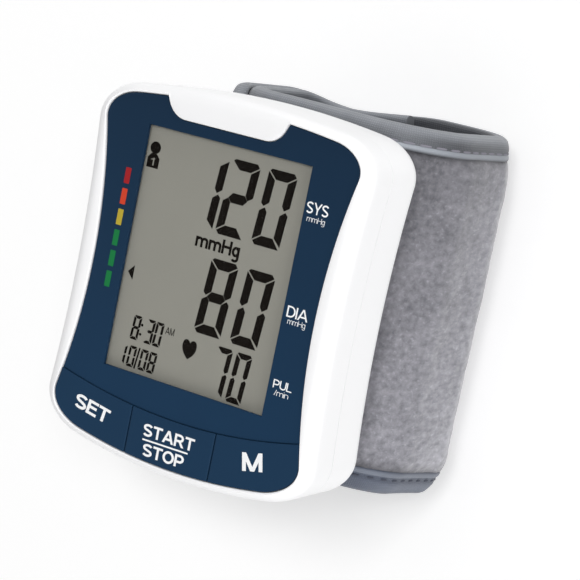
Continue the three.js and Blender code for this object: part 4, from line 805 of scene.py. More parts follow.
# Figures, with their left edges, base line, width, height, stroke and gap, and the signs beside them.
segments = [
    *figures("120", [-7.83, -0.28, 8.57], 12.29, 6.8, 15.8, 1.85, 0.2),
    *figures("80", [-0.7, 8.25], -8.67, 6.7, 15.9, 1.85, 0.2),
    *figures("70", [5.2, 9.95], -20.6, 3.8, 10.6, 1.1, 0.16),
    *figures("830", [-15.83, -12.28, -10.08], -14.28, 2.0, 5.2, 0.58, 0.09),
    *figures("1008", [-17.95, -15.5, -12.45, -10.25], -20.12, 1.9, 4.5, 0.55, 0.09),
    disc((-13.23, -10.78), 0.3, 12),
    disc((-13.33, -12.78), 0.3, 12),
    [(-13.45, -20.22), (-13.05, -20.22), (-12.5, -15.62), (-12.9, -15.62)],
    [(-19.3, -0.6), (-17.85, -2.15), (-17.85, 1.0)],
    disc((-18.33, 26.04), 1.3),
    person_body,
    heart,
    *lettering("mmHg", 1.1, 8.6, 2.9, 10.9, 0.19),
    *lettering("AM", -6.2, -11.0, 1.5, 2.2, 0.12),
]
lcd_print = piece("lcd_segments", printed(segments, LCD_Z), SEGMENT, "monitor", sharp=30)
user_mark = printed(lettering("1", -18.38, 22.3, 1.6, 0.62, 0.2), LCD_Z + PRINT)
piece("lcd_user_number", user_mark, LCD_PALE, "monitor", sharp=30)


# Keys: three navy caps in a curved row, each on a switch on the board. They stand a little proud of the
# panel, with softened edges, and carry their names in white ink.
# Moulded ABS in the panel's navy: a shade lighter, with the same satin skin.
KEY_NAVY = moulded("satin_navy_abs", "#14314B", 0.5, 0.3, 0.003, 0.05, Specular_IOR_Level=0.12)
KEY_Z, KEY_UNDER = -0.2, -2.0
KEY_SOFT = 0.22
KEY_SLIT, KEY_SPACE, ROW_SLIT = 0.16, 0.22, 0.06  # gaps to the rim, between keys and to the panel
KEY_CROWN, CROWN_RINGS = 0.05, (0.98, 0.9, 0.7, 0.4, 0.1)
KEY_SIDE = -1.2  # height of the ring on a cap's sides
KEY_SPLIT = 10.6  # from the middle to the gaps between the keys
KEYS = {
    "set": ((-20.5, -32.5), None, -KEY_SPLIT - KEY_SPACE / 2),
    "start": ((0.0, -33.0), -KEY_SPLIT + KEY_SPACE / 2, KEY_SPLIT - KEY_SPACE / 2),
    "memory": ((20.5, -32.5), KEY_SPLIT + KEY_SPACE / 2, None),
}
key_turns = np.linspace(-np.pi, np.pi, 720, endpoint=False)


def key_edge(centre, left, right):
    """Distances from a key's centre to the recess, the row's upper curve and the neighbouring keys."""
    edge = np.minimum(
        reach(inset(recess_outline, KEY_SLIT), centre, key_turns),
        reach(row_edge(KEY_GAP / 2 - ROW_SLIT), centre, key_turns, closed=False),
    )
    for side, way in ((left, -1), (right, 1)):
        if side is not None:
            toward = np.cos(key_turns) * way
            distance = (side - centre[0]) * way / np.where(toward > 1e-3, toward, 1e-9)
            edge = np.where(toward > 1e-3, np.minimum(edge, distance), edge)
    return edge


for key_name, (centre, left, right) in KEYS.items():
    edge = key_edge(np.array(centre), left, right)
    top = edge - KEY_SOFT
    levels = [(edge, KEY_UNDER), (edge, KEY_SIDE), *softened(edge, KEY_Z, KEY_SOFT)]
    levels += [(top * share, KEY_Z + KEY_CROWN * (1 - share ** 2)) for share in CROWN_RINGS]
    cap_shape = loft(rings(np.array(centre), key_turns, levels))
    cap = piece(f"{key_name}_cap", cap_shape, KEY_NAVY, f"{key_name}_key")
    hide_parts(f"{key_name}_button")
KEY_NAMES = {
    "set": lettering("SET", -20.64, -32.35, 3.1, 9.3, 0.19, turn=-9.5),
    "start": [
        *lettering("START", -0.32, -32.62, 2.65, 12.9, 0.185, turn=0.8),
        *lettering("STOP", -0.82, -36.77, 2.65, 10.4, 0.185, turn=0.8),
        [(-6.57, -33.67), (4.93, -33.47), (4.93, -33.12), (-6.57, -33.32)],
    ],
    "memory": lettering("M", 20.72, -32.25, 3.8, 4.8, 0.175, turn=13),
}
for key_name, words in KEY_NAMES.items():
    piece(f"{key_name}_name", printed(words, KEY_Z + KEY_CROWN), INK_WHITE, f"{key_name}_key", sharp=30)


# Inside of the case: the board with its chip and switches, the cells with their contacts, and the pump,
# valve and sensor joined by silicone tubes. They keep their CAD shapes and get their own finishes.
# Glass-filled nylon: near black, with a dull moulded skin.
DARK_PLASTIC = moulded("black_nylon", "#2A2B2E", 0.5, 0.4, 0.01, 0.08)
dress(
    DARK_PLASTIC, "lcd_frame", "controller_chip", "battery_tray", "pump_head", "air_manifold",
    "release_valve", "set_plunger", "start_plunger", "memory_plunger",
)
# Epoxy glass board under solder mask: glossy green with the weave of the glass, 0.8 mm wide.
SOLDER_MASK = moulded("green_solder_mask", "#1F5A3C", 0.4, 0.8, 0.01, 0.12)
dress(SOLDER_MASK, "main_board")
dress(
    BRIGHT_STEEL, "set_switch", "start_switch", "memory_switch", "battery_spring_1", "battery_spring_2",
    "bridge_contact", "negative_contact", "positive_contact", "pump_motor",
)
# Shrunk film over a steel can: a slate blue with a clear gloss.
CELL_FILM = moulded("cell_film", "#3D4A57", 0.3, 1.5, 0.004, 0.06, Coat_Weight=0.4)
dress(CELL_FILM, "battery_1", "battery_2")
# Silicone tube: milky, with a dull gloss.
SILICONE = moulded("translucent_silicone", "#D9DCDA", 0.5, 0.6, 0.006, 0.04)
dress(SILICONE, "pump_tube", "valve_tube", "sensor_tube", "cuff_tube")
# Conductive silicone rubber: matt and dark grey.
RUBBER = moulded("grey_silicone_rubber", "#4C4D50", 0.8, 0.4, 0.01, 0.1)
dress(RUBBER, "contact_strip_upper", "contact_strip_lower")
# Polyester, rolled or moulded: ivory, with a soft gloss.
POLYESTER = moulded("ivory_polyester", "#E3E3DE", 0.5, 0.5, 0.008, 0.04)
dress(POLYESTER, "cuff_stiffener", "pressure_sensor")
# Welded vinyl film: a pale grey with a fine emboss, 0.8 mm wide.
VINYL = moulded("bladder_vinyl", "#C9CCD0", 0.45, 0.8, 0.02, 0.06)
dress(VINYL, "air_bladder")


# Cuff sleeve: a long band of brushed loop fleece that wraps on itself. It starts as an inner lap on the
# back, runs round the wrist along the back of the case, and passes under itself to the free flap.
CUFF_Y = 0.05
LOOP_LEFT, LOOP_RIGHT, LOOP_DEPTH = -24.8, 36.2, 48.2
FRONT_ROUND, BACK_ROUND = 18.0, 16.0
LAP = 3.4  # from the outer lap's face to the inner lap's
INNER_END_X = 7.0
FRONT_LOW = LOOP_DEPTH - FRONT_ROUND
FRONT_START, FRONT_END = LOOP_LEFT + FRONT_ROUND, LOOP_RIGHT - FRONT_ROUND
BACK_START, BACK_END = LOOP_LEFT + BACK_ROUND, LOOP_RIGHT - BACK_ROUND
HALF_WIDTH = 41.15
BINDING = 4.8
SLEEVE = 2.2
DIP, DIP_X, DIP_HALF = 2.4, -9, 24  # of the upper edge, across the back
LOW_RISE, LOW_HANG = 4.8, 0.8  # of the lower edge, to the front and all round
BACK_HANG, BACK_HANG_Z = 0.4, 30
TOP_REACH, TOP_DRAW, TOP_POWER = 13, 2.2, 2  # how the upper edge is drawn in, and the lower one
LOW_REACH, LOW_DRAW, LOW_POWER = 9, 4.0, 1.6


def arc(centre, radius, start, end):
    """Points on an arc between two angles in degrees, without the last."""
    turn = np.radians(np.linspace(start, end, 400, endpoint=False))
    return np.array(centre) + radius * np.stack([np.cos(turn), np.sin(turn)], axis=1)


path_parts = [
    bezier((INNER_END_X, LAP), (BACK_START, LAP), steps=400),
    arc((BACK_START, BACK_ROUND), BACK_ROUND - LAP, -90, -180),
    bezier((LOOP_LEFT + LAP, BACK_ROUND), (LOOP_LEFT + LAP, FRONT_LOW), steps=400),
    arc((FRONT_START, FRONT_LOW), FRONT_ROUND - LAP, 180, 90),
    bezier(
        (FRONT_START, LOOP_DEPTH - LAP), ((FRONT_START + FRONT_END) / 2, LOOP_DEPTH - LAP),
        ((FRONT_START + FRONT_END) / 2, LOOP_DEPTH), (FRONT_END, LOOP_DEPTH), steps=400,
    ),
    arc((FRONT_END, FRONT_LOW), FRONT_ROUND, 90, 0),
    bezier((LOOP_RIGHT, FRONT_LOW), (LOOP_RIGHT, BACK_ROUND), steps=400),
    arc((BACK_END, BACK_ROUND), BACK_ROUND, 0, -90),
    bezier((BACK_END, 0), (BACK_START, 0), steps=400),
    arc((BACK_START, BACK_ROUND), BACK_ROUND, -90, -180),
    bezier((LOOP_LEFT, BACK_ROUND), (LOOP_LEFT, FRONT_LOW), steps=400),
    arc((FRONT_START, FRONT_LOW), FRONT_ROUND, 180, 135),
]
path = np.concatenate(path_parts)
path_run = np.concatenate([[0], np.cumsum(np.linalg.norm(np.diff(path, axis=0), axis=1))])
path_along = np.gradient(path, path_run, axis=0)
path_along /= np.linalg.norm(path_along, axis=1, keepdims=True)
marks = path_run[np.cumsum([0] + [len(part) for part in path_parts[:-1]])]
PAD_END, BACK_MARK, HINGE_RUN, END_RUN = marks[6], marks[8], marks[10], path_run[-1]
LINING_SHORT = 3  # from the end of the outer lap's lining to the inner lap's end
LINING_END = BACK_MARK + BACK_END - INNER_END_X - LINING_SHORT


def smooth(value, low, high):
    """Smooth step from 0 at low to 1 at high: 3 t squared less 2 t cubed."""
    share = np.clip((value - low) / (high - low), 0, 1)
    return share * share * (3 - 2 * share)


def at_run(run):
    """Place on the cuff's path, in x and z, and the way in towards the wrist."""
    place = [np.interp(run, path_run, path[:, k]) for k in (0, 1)]
    along = [np.interp(run, path_run, path_along[:, k]) for k in (0, 1)]
    return place[0], place[1], along[1], -along[0]


def upper_edge(run):
    """Height of the cuff's upper edge: level, with a dip across the back."""
    x, z, _, _ = at_run(run)
    across = 1 - smooth(np.abs(x - DIP_X), 0, DIP_HALF)
    return HALF_WIDTH - DIP * across * (1 - smooth(z, 0, BACK_ROUND))


def lower_edge(run):
    """Height of the cuff's lower edge, which rises from the back of the cuff to its front."""
    z = at_run(run)[1]
    return LOW_RISE * z / LOOP_DEPTH - HALF_WIDTH - LOW_HANG - BACK_HANG * (1 - smooth(z, 0, BACK_HANG_Z))


def on_cuff(run, y, depth):
    """Point in space at a run along the cuff, a height and a depth into it. Both edges are drawn in
    towards the wrist by a power of the nearness to the edge."""
    run, y, depth = np.broadcast_arrays(run, y, depth)
    x, z, in_x, in_z = at_run(run)
    near_top = np.clip(TOP_REACH - (upper_edge(run) - y), 0, None) / TOP_REACH
    near_low = np.clip(LOW_REACH - (y - lower_edge(run)), 0, None) / LOW_REACH
    into = depth + TOP_DRAW * near_top ** TOP_POWER + LOW_DRAW * near_low ** LOW_POWER
    return np.stack([x + in_x * into, y + CUFF_Y, z + in_z * into], axis=-1)


def cloth(name, grid, material, body):
    """A piece of cloth from a grid of points and the weave at each, from woven, which is kept with it."""
    points, flat = grid
    made = piece(name, loft(points), material, body, sharp=60)
    weave = made.data.attributes.new("weave", "FLOAT_VECTOR", "POINT")
    weave.data.foreach_set("vector", (flat * MM).ravel())
    return made


def woven(run, y, inner=0.0):
    """Run and height at each point of a cloth, with a share of painted shade from 0 to 1 that darkens its
    colour.
    """
    return np.stack(np.broadcast_arrays(run, y, inner), axis=-1)


def sway(run, y, seed, size, count=14):
    """Slow swells in cloth: a mean of sine waves in seeded directions, each about a given length long."""
    draw = np.random.default_rng(seed)
    total = 0
    for _ in range(count):
        angle, phase, stretch = draw.uniform(0, 2 * np.pi, 2).tolist() + [draw.uniform(0.7, 1.5)]
        along = run * np.cos(angle) + y * np.sin(angle)
        total = total + np.sin(2 * np.pi * along / (size * stretch) + phase)
    return total / np.sqrt(count)


# Brushed loop fleece: a matt grey nap that catches light along its outline. Tufts about 1.4 mm wide and
# slower drifts mottle the colour, and single loops of about 0.5 mm roughen it. Painted shade darkens it
# towards its upper edge, by the case and in the seams, and painted light makes it paler towards its lower
# edge and past the cuff's right side.
LONGER = 0.5  # the pace at which tufts follow the run where they are longest
comb_on = smooth(path_run, marks[5] + 14, marks[6])
comb_off = smooth(path_run, marks[7], marks[7] + 12)
nap_pace = 1 - LONGER * comb_on * (1 - comb_off)
nap_run = np.concatenate([[0], np.cumsum(nap_pace[1:] * np.diff(path_run))])


def combed(run):
    """Run for the nap, whose tufts are combed up to twice as long round the cuff's right side."""
    return np.interp(run, path_run, nap_run)


# Painted shade and light over the fleece's height: paler towards the lower edge, darker towards the
# upper.
HEIGHT_SHADE_TONES = (1.36, 0.79)  # at the lower and at the upper edge
# Painted shade by the case, and painted light past the cuff's right side, along the combed run.
RUN_SHADE_STRETCH = (combed(marks[5] + 12) * MM, combed(marks[7] + 6) * MM)
RUN_SHADE_TONES = (0.66, 1.22)  # by the case and past the right side
# Painted shade in the seams: the fleece's colour darkens next to the tapes' folds.
SEAM_SHADE_TONES = (1.0, 0.36)  # away from a seam and in it
FLECK, FLECK_LEVELS, FLECK_TONES = 0.8, (0.6, 0.72), (1.0, 1.25)
DRIFT, DRIFT_SHARE, NAP_LEVELS = 9, 0.35, (0.33, 0.67)


def napped(name, dark, light, tuft, loop, depth):
    """Cloth with a brushed nap, on the piece's own run and height. Painted shade and light grade its
    colour along both, and painted shade darkens it where a seam presses it.
    """
    fleece = bpy.data.materials.new(name)
    fleece.use_nodes = True
    tree = fleece.node_tree
    shader = tree.nodes["Principled BSDF"]
    shader.inputs["Roughness"].default_value = 0.95
    shader.inputs["Specular IOR Level"].default_value = 0.15
    shader.inputs["Sheen Weight"].default_value = 0.75
    shader.inputs["Sheen Roughness"].default_value = 0.36
    where = add(tree, "ShaderNodeAttribute", {"attribute_name": "weave"}).outputs["Vector"]
    tufted = {"Scale": 1 / (tuft * MM), "Detail": 4.0, "Roughness": 0.6}
    tufts = add(tree, "ShaderNodeTexNoise", tufted, {"Vector": where})
    drift = add(tree, "ShaderNodeTexNoise", {"Scale": 1 / (DRIFT * MM), "Detail": 3.0}, {"Vector": where})
    mixed = add(
        tree, "ShaderNodeMix", {"data_type": "FLOAT", 0: DRIFT_SHARE},
        {2: tufts.outputs["Fac"], 3: drift.outputs["Fac"]},
    )
    spread = add(
        tree, "ShaderNodeMapRange", {"From Min": NAP_LEVELS[0], "From Max": NAP_LEVELS[1]},
        {"Value": mixed.outputs[0]},
    )
    tone = add(
        tree, "ShaderNodeMix", {"data_type": "RGBA", 6: linear(dark), 7: linear(light)},
        {0: spread.outputs["Result"]},
    )
    place = add(tree, "ShaderNodeSeparateXYZ", {}, {0: where})
    flecked = {"Scale": 1 / (FLECK * MM), "Detail": 1.0}
    specks = add(tree, "ShaderNodeTexNoise", flecked, {"Vector": where})
    colour = tone.outputs[2]
    for value, stretch, tones in (
        (place.outputs["Y"], (-HALF_WIDTH * MM, HALF_WIDTH * MM), HEIGHT_SHADE_TONES),
        (place.outputs["X"], RUN_SHADE_STRETCH, RUN_SHADE_TONES),
        (place.outputs["Z"], (0, MM), SEAM_SHADE_TONES),
        (specks.outputs["Fac"], FLECK_LEVELS, FLECK_TONES),
    ):
        colour = graded(tree, colour, value, stretch, tones)
    tree.links.new(shader.inputs["Base Color"], colour)
    loops = add(tree, "ShaderNodeTexVoronoi", {"Scale": 1 / (loop * MM)}, {"Vector": where})
    height = add(
        tree, "ShaderNodeMath", {"operation": "MULTIPLY_ADD", 1: 0.5},
        {0: loops.outputs["Distance"], 2: tufts.outputs["Fac"]},
    )
    relief = {"Strength": 0.8, "Distance": depth * MM}
    bump = add(tree, "ShaderNodeBump", relief, {"Height": height.outputs[0]})
    tree.links.new(shader.inputs["Normal"], bump.outputs["Normal"])
    return fleece


FLEECE = napped("brushed_loop_fleece", "#6B6B71", "#9F9EA5", 1.4, 0.5, 0.07)
SPLIT_RUN = HINGE_RUN - 5.0  # the flap's cloth starts here, before its hinge
TUCK = 0.5  # how far the fleece reaches under its binding
UPPER_FOLD, LOWER_FOLD, FOLD_HALF, FOLD_DEPTH = 4.35, 5.35, (0.8, 0.5), 0.42
PRESS_LOW, PRESS_HIGH, PRESS_DEPTH = 1.3, 0.7, 0.3
SWELL, TUFT = 0.12, 0.05
CLOTH_STEP = 0.7


def band(run, low, high, outer, inner, weave, across=90, inside=24):
    """Closed band along runs, from a low to a high edge, with an outer and an inner depth and the weave
    at each place."""
    run = np.asarray(run)[:, None]
    up = np.linspace(0, 1, across)[None]
    down = np.linspace(1, 0, inside)[None]
    share = np.concatenate([up, down], axis=1)
    y = low(run) + (high(run) - low(run)) * share
    depth = np.concatenate([outer(run, y[:, :across]), inner(run, y[:, across:])], axis=1)
    return on_cuff(run, y, depth), weave(run, y)


def seam_press_and_shade(run, y):
    """How far a seam presses the nap, which dips the fleece's face and darkens its colour as painted
    shade: 1 at the tapes' folds, falling off by e in each PRESS_LOW above the lower one and in each
    PRESS_HIGH under the upper one."""
    from_low = y - lower_edge(run) - LOWER_FOLD - FOLD_HALF[0]
    from_high = upper_edge(run) - y - UPPER_FOLD - FOLD_HALF[0]
    return np.exp(-np.clip(np.minimum(from_low / PRESS_LOW, from_high / PRESS_HIGH), 0, None))


def nap(run, y):
    """Weave of the fleece: the combed run and the height, with the seams' pressure as its share of
    painted shade.
    """
    return woven(combed(run), y, seam_press_and_shade(run, y))


def nap_face(run, y):
    """Outer face of the fleece: slow swells 17 mm long, tufts 2.6 mm long, and a dip at the tapes."""
    swells = SWELL * sway(run, y, 3, 17)
    return swells + TUFT * sway(combed(run), y, 4, 2.6) + PRESS_DEPTH * seam_press_and_shade(run, y)


def fleece_back(run, y):
    """Inner face of the fleece: level, at its thickness."""
    return np.full(np.broadcast_shapes(run.shape, y.shape), SLEEVE)


sleeve_run = np.arange(0, SPLIT_RUN + CLOTH_STEP / 2, CLOTH_STEP)
sleeve = cloth("cuff_fleece", band(
    sleeve_run,
    lambda run: lower_edge(run) + BINDING - TUCK,
    lambda run: upper_edge(run) - BINDING + TUCK,
    nap_face, fleece_back, nap,
), FLEECE, "monitor")
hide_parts("cuff_sleeve")


# Lining: smooth knitted cloth against the skin, stitched down along both edges and full over the air
# bladder between them. It puckers a little along its seams where the cuff curls.
WAVE_BANDS = 3.183  # bands of a wave texture in one unit, at a scale of 1
WEFT = 0.8  # pitch of the weft as a share of the ribs'
KNIT_DRIFT = 5


def knitted(name, dark, light, rib, depth, roughness=0.8, inner=("#34363B", "#54575D")):
    """Cloth with ribs of a given pitch in millimetres along its height, crossed by a finer weft. Where
    its share of painted shade rises, it takes the two inner colours, which are the colours of that shade."""
    knit = bpy.data.materials.new(name)
    knit.use_nodes = True
    tree = knit.node_tree
    shader = tree.nodes["Principled BSDF"]
    shader.inputs["Roughness"].default_value = roughness
    shader.inputs["Sheen Weight"].default_value = 0.15
    where = add(tree, "ShaderNodeAttribute", {"attribute_name": "weave"}).outputs["Vector"]
    ribs, weft = (
        add(tree, "ShaderNodeTexWave", {
            "bands_direction": way, "Scale": 1 / (pitch * MM) / WAVE_BANDS, "Distortion": 0.6,
            "Detail": 1.0, "Detail Scale": 2.0,
        }, {"Vector": where}).outputs["Fac"]
        for way, pitch in (("X", rib), ("Y", rib * WEFT))
    )
    crossed = add(tree, "ShaderNodeMath", {"operation": "MULTIPLY"}, {0: ribs, 1: weft}).outputs[0]
    drifting = {"Scale": 1 / (KNIT_DRIFT * MM), "Detail": 3.0}
    drift = add(tree, "ShaderNodeTexNoise", drifting, {"Vector": where})
    halved = {"data_type": "FLOAT", 0: 0.5}
    mixed = add(tree, "ShaderNodeMix", halved, {2: crossed, 3: drift.outputs["Fac"]}).outputs[0]
    tones = [
        add(tree, "ShaderNodeMix", {"data_type": "RGBA", 6: linear(low), 7: linear(high)}, {0: mixed})
        for low, high in ((dark, light), inner)
    ]
    painted_shade_share = add(tree, "ShaderNodeSeparateXYZ", {}, {0: where}).outputs["Z"]
    share = add(tree, "ShaderNodeMath", {"operation": "DIVIDE", 1: MM}, {0: painted_shade_share})
    tone = add(
        tree, "ShaderNodeMix", {"data_type": "RGBA"},
        {0: share.outputs[0], 6: tones[0].outputs[2], 7: tones[1].outputs[2]},
    )
    tree.links.new(shader.inputs["Base Color"], tone.outputs[2])
    bump = add(tree, "ShaderNodeBump", {"Strength": 0.7, "Distance": depth * MM}, {"Height": crossed})
    tree.links.new(shader.inputs["Normal"], bump.outputs["Normal"])
    return knit


# Warp-knitted nylon: a blue-grey with fine ribs along the cuff, painted dark on the outer lap as shade
# inside the loop.
LINING_CLOTH = knitted("warp_knitted_nylon", "#A0A6AE", "#CBD0D7", 0.7, 0.1)
LINING, LINING_FLAT, LINING_PADDED = 1.0, 2.5, 6.3
PAD_SLOPE, PAD_RAMP = 9.0, 12.0
PUCKER, PUCKER_LENGTH, PUCKER_REACH = 0.25, 6.5, 4
LINING_STEP = 0.8
SEAM = BINDING + 0.3


def lining_face(run, y):
    """Depth of the lining's skin side: flat at its seams, full over the bladder, with puckers that fade
    by e in each PUCKER_REACH from the seams."""
    crown = LINING_PADDED + (LINING_FLAT - LINING_PADDED) * smooth(run, PAD_END, PAD_END + PAD_RAMP)
    from_edge = np.minimum(y - lower_edge(run), upper_edge(run) - y) - SEAM
    full = smooth(from_edge, 0.4, PAD_SLOPE)
    wave = PUCKER * np.sin(2 * np.pi * run / PUCKER_LENGTH + 1.3 * np.sin(run / 11))
    pucker = wave * np.exp(-from_edge / PUCKER_REACH) * full
    return LINING_FLAT + LINING + (crown - LINING_FLAT) * full + pucker


def outer_lap_shade(run):
    """Painted shade inside the outer lap: 1 on the outer lap, from the cuff's right side on, and 0
    before, with 8 mm between them.
    """
    return smooth(run, PAD_END - 4, PAD_END + 4)


# The lining is painted dark on the outer lap, as shade inside the loop.
lining_run = np.arange(0, LINING_END + LINING_STEP / 2, LINING_STEP)
lining = cloth("cuff_lining_cloth", band(
    lining_run,
    lambda run: lower_edge(run) + SEAM - TUCK,
    lambda run: upper_edge(run) - SEAM + TUCK,
    lambda run, y: lining_face(run, y) - LINING,
    lining_face,
    lambda run, y: woven(run, y, outer_lap_shade(run)),
    60, 60,
), LINING_CLOTH, "monitor")
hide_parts("cuff_lining")


# Bindings: woven tapes folded over both edges of the cuff and sewn through, each with a rolled fold along
# its inner side that is painted lighter as a highlight. A tape also closes the end of the inner lap.
# Grosgrain tape: fine ribs across the tape, about 0.55 mm apart, with the dull gloss of polyester. Rolled
# into a fold, its ribs lie closer, and it is painted paler as a highlight.
TAPE = knitted("woven_polyester_tape", "#6F7379", "#989BA1", 0.55, 0.12, 0.6)
LIT_FOLD_TAPE = knitted("rolled_tape_painted_highlight", "#90959D", "#A5AAB2", 0.35, 0.03, 0.55)
# The lower tape is a bluer slate. Its roll is painted paler as a highlight, and SLATE gives its painted
# shade.
SLATE = ("#2C3342", "#464E5F")
LOWER_TAPE = knitted("slate_polyester_tape", "#4C5365", "#6E7683", 0.55, 0.12, 0.6, SLATE)
LIT_LOWER_ROLL = knitted("rolled_slate_tape_painted_highlight", "#686E7B", "#7B818E", 0.35, 0.03, 0.55, SLATE)
TAPE_PROUD = 0.12
TAPE_ROUND = 1.3
UNLINED = 2.9  # thickness of a taped edge without lining
TAPE_BOW = 0.1
STITCH_PITCH, STITCH_FALL, STITCH_SINK, STITCH_GROOVE = 3.9, 3.5, 0.28, 0.55
LOWER_STITCH_FALL = 4.0
STITCH_DEPTH = STITCH_SINK - TAPE_PROUD - TAPE_BOW
STITCH_HALF, LOWER_STITCH_HALF = 1.4, 0.9
STITCH_SECTION = (0.25, 0.16)


def tape_section(thick, sewn):
    """Section of a tape folded over an edge of a given thickness: depths and distances from the edge. Its
    faces bow by half a sine and sink where it is sewn, under the fold, and half an ellipse joins them."""
    down = np.linspace(BINDING, TAPE_ROUND, 22)
    groove = STITCH_SINK * np.exp(-(np.clip(sewn - down, 0, None) / STITCH_GROOVE) ** 2)
    bow = TAPE_PROUD + TAPE_BOW * np.sin(np.pi * (down - TAPE_ROUND) / (BINDING - TAPE_ROUND)) - groove
    turn = np.linspace(0, np.pi, 15)[1:-1]
    middle, half = thick / 2, thick / 2 + TAPE_PROUD
    depth = np.concatenate([
        np.broadcast_to(-bow, (*np.shape(thick)[:-1], len(down))),
        middle - half * np.cos(turn),
        thick + bow[::-1],
    ], axis=-1)
    fall = np.concatenate([down, TAPE_ROUND * (1 - np.sin(turn)), down[::-1]])
    return depth, fall


FOLD_TURN = np.linspace(0, 2 * np.pi, 16, endpoint=False)
fold_down = FOLD_HALF[0] * np.sin(FOLD_TURN)
fold_depth = FOLD_DEPTH - FOLD_HALF[1] * np.cos(FOLD_TURN)
fold_shade = 0.9 * smooth(np.sin(FOLD_TURN), -0.1, 0.9)  # on its side away from the edge


def stitches(run, y, tilt, depth, half):
    """A row of stitches: pebbles of a half length, laid along the cuff at runs and heights, at one
    depth."""
    points, faces = pebble((0, 0, 0), (*STITCH_SECTION, half), 0.6, 7, 8)
    parts = []
    for r, height, lean in zip(run, y, tilt):
        along = r + points[:, 2] * np.cos(lean) - points[:, 0] * np.sin(lean)
        up = height + points[:, 0] * np.cos(lean) + points[:, 2] * np.sin(lean)
        parts.append((on_cuff(along, up, depth - points[:, 1]), faces))
    return together(*parts)


binding_run = sleeve_run[:, None]
lined = LINING_FLAT + LINING
edge_thickness = lined + (UNLINED - lined) * smooth(binding_run, LINING_END - 2, LINING_END + 2)


def upper_shade(fall, run):
    """Shade across the upper tape: from its lit edge down to the groove, deepest by the cuff's front
    turn."""
    deeper = 0.42 * smooth(run, marks[5] + 8, marks[6] - 6)
    paler = 0.2 * smooth(run, marks[6] - 4, marks[7])
    return (0.58 + deeper - paler) * smooth(fall, 0.3, 2.6)


def lower_shade(fall, run):
    """Shade across the lower tape: at its edge and in the groove, and deeper towards the case."""
    groove = 0.85 * np.exp(-((fall - LOWER_STITCH_FALL) / 1.1) ** 2)
    edge = 0.65 * (1 - smooth(fall, 0, 2))
    return np.maximum(np.maximum(groove, edge), 0.65 * (1 - smooth(run, marks[5] + 10, marks[6] + 2)))


# Spun polyester thread: matt, pale in the upper seam and slate in the lower one.
THREAD_LIGHT = ink("pale_polyester_thread", "#807F88", 0.7)
THREAD_DARK = ink("slate_polyester_thread", "#464954", 0.7)
stitch_run = np.arange(2.5, SPLIT_RUN - 2, STITCH_PITCH)
INNER_FROM = 0.55  # share of a tape's section past which it faces the wrist
BINDINGS = {
    "upper": (
        upper_edge, -1, upper_shade, THREAD_LIGHT, STITCH_HALF, STITCH_FALL, UPPER_FOLD, TAPE, LIT_FOLD_TAPE,
    ),
    "lower": (
        lower_edge, 1, lower_shade, THREAD_DARK, LOWER_STITCH_HALF, LOWER_STITCH_FALL, LOWER_FOLD,
        LOWER_TAPE, LIT_LOWER_ROLL,
    ),
}
for edge_name, settings in BINDINGS.items():
    edge, way, shade, thread, half, sewn_fall, fold_fall, tape_cloth, fold_cloth = settings
    tape_depth, tape_fall = tape_section(edge_thickness, sewn_fall)
    inner_side = np.linspace(0, 1, len(tape_fall))[None] > INNER_FROM
    y = edge(binding_run) + way * tape_fall
    # Painted shade on the tape: its inner side on the outer lap, and the shade across it down to the
    # groove.
    tape_painted_shade = np.maximum(inner_side * outer_lap_shade(binding_run), shade(tape_fall, binding_run))
    folded = (on_cuff(binding_run, y, tape_depth), woven(binding_run, y, tape_painted_shade))
    tape = cloth(f"{edge_name}_tape", folded, tape_cloth, "monitor")
    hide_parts(f"{edge_name}_binding")
    fold_y = edge(binding_run) + way * (fold_fall + fold_down)
    # Painted shade on the fold: on its side away from the edge, and deeper from the cuff's front right
    # turn on.
    fold_painted_shade = np.maximum(fold_shade, 0.3 * smooth(binding_run, marks[5] + 8, marks[6]))
    roll = (on_cuff(binding_run, fold_y, fold_depth), woven(binding_run, fold_y, fold_painted_shade))
    fold = cloth(f"{edge_name}_fold", roll, fold_cloth, "monitor")
    lean = np.arctan(np.gradient(edge(stitch_run), stitch_run))
    sewn = stitches(stitch_run, edge(stitch_run) + way * sewn_fall, lean, STITCH_DEPTH, half)
    thread_row = piece(f"{edge_name}_stitches", sewn, thread, "monitor")

END_BACK, END_REACH, END_BLUNT, END_PROUD = 2.6, 3.4, 0.45, 0.05
end_y = np.linspace(0, 1, 80)[:, None]
end_turn = np.linspace(-np.pi / 2, np.pi / 2, 24)[None]
end_low, end_high = lower_edge(0.0) + BINDING - TUCK, upper_edge(0.0) - BINDING + TUCK
end_height = end_low + (end_high - end_low) * end_y
end_face = lining_face(np.full_like(end_height, 2.5), end_height)
end_depth = end_face / 2 + (end_face / 2 + TAPE_PROUD + END_PROUD) * np.sin(end_turn)
end_run = END_BACK - END_REACH * np.clip(np.cos(end_turn), 0, 1) ** END_BLUNT
end_points = on_cuff(0.0, end_height, end_depth)
end_points[..., 0] -= end_run
# The end tape takes the fold's tape, painted paler as a highlight.
end_tape = cloth("inner_end_tape", (end_points, woven(end_run, end_height)), LIT_FOLD_TAPE, "monitor")


# Flap: the free end of the cuff, which closes on the fleece with a patch of hooks. Its cloth runs on from
# the sleeve across the hinge, and the same tape is folded round its three free edges.
FLAP_CORNER = 5.0
FLAP_TRIM = 1.4  # from the tape's edge to the fleece inside it


def flap_cut(run):
    """How much the flap's round corners take off its edges at a run: a quarter circle's height."""
    into = np.clip(run - (END_RUN - FLAP_CORNER), 0, FLAP_CORNER)
    return FLAP_CORNER - np.sqrt(FLAP_CORNER ** 2 - into ** 2)


def bent(made):
    """Bakes the place of a piece of the flap into its points."""
    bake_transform(made)
    return made


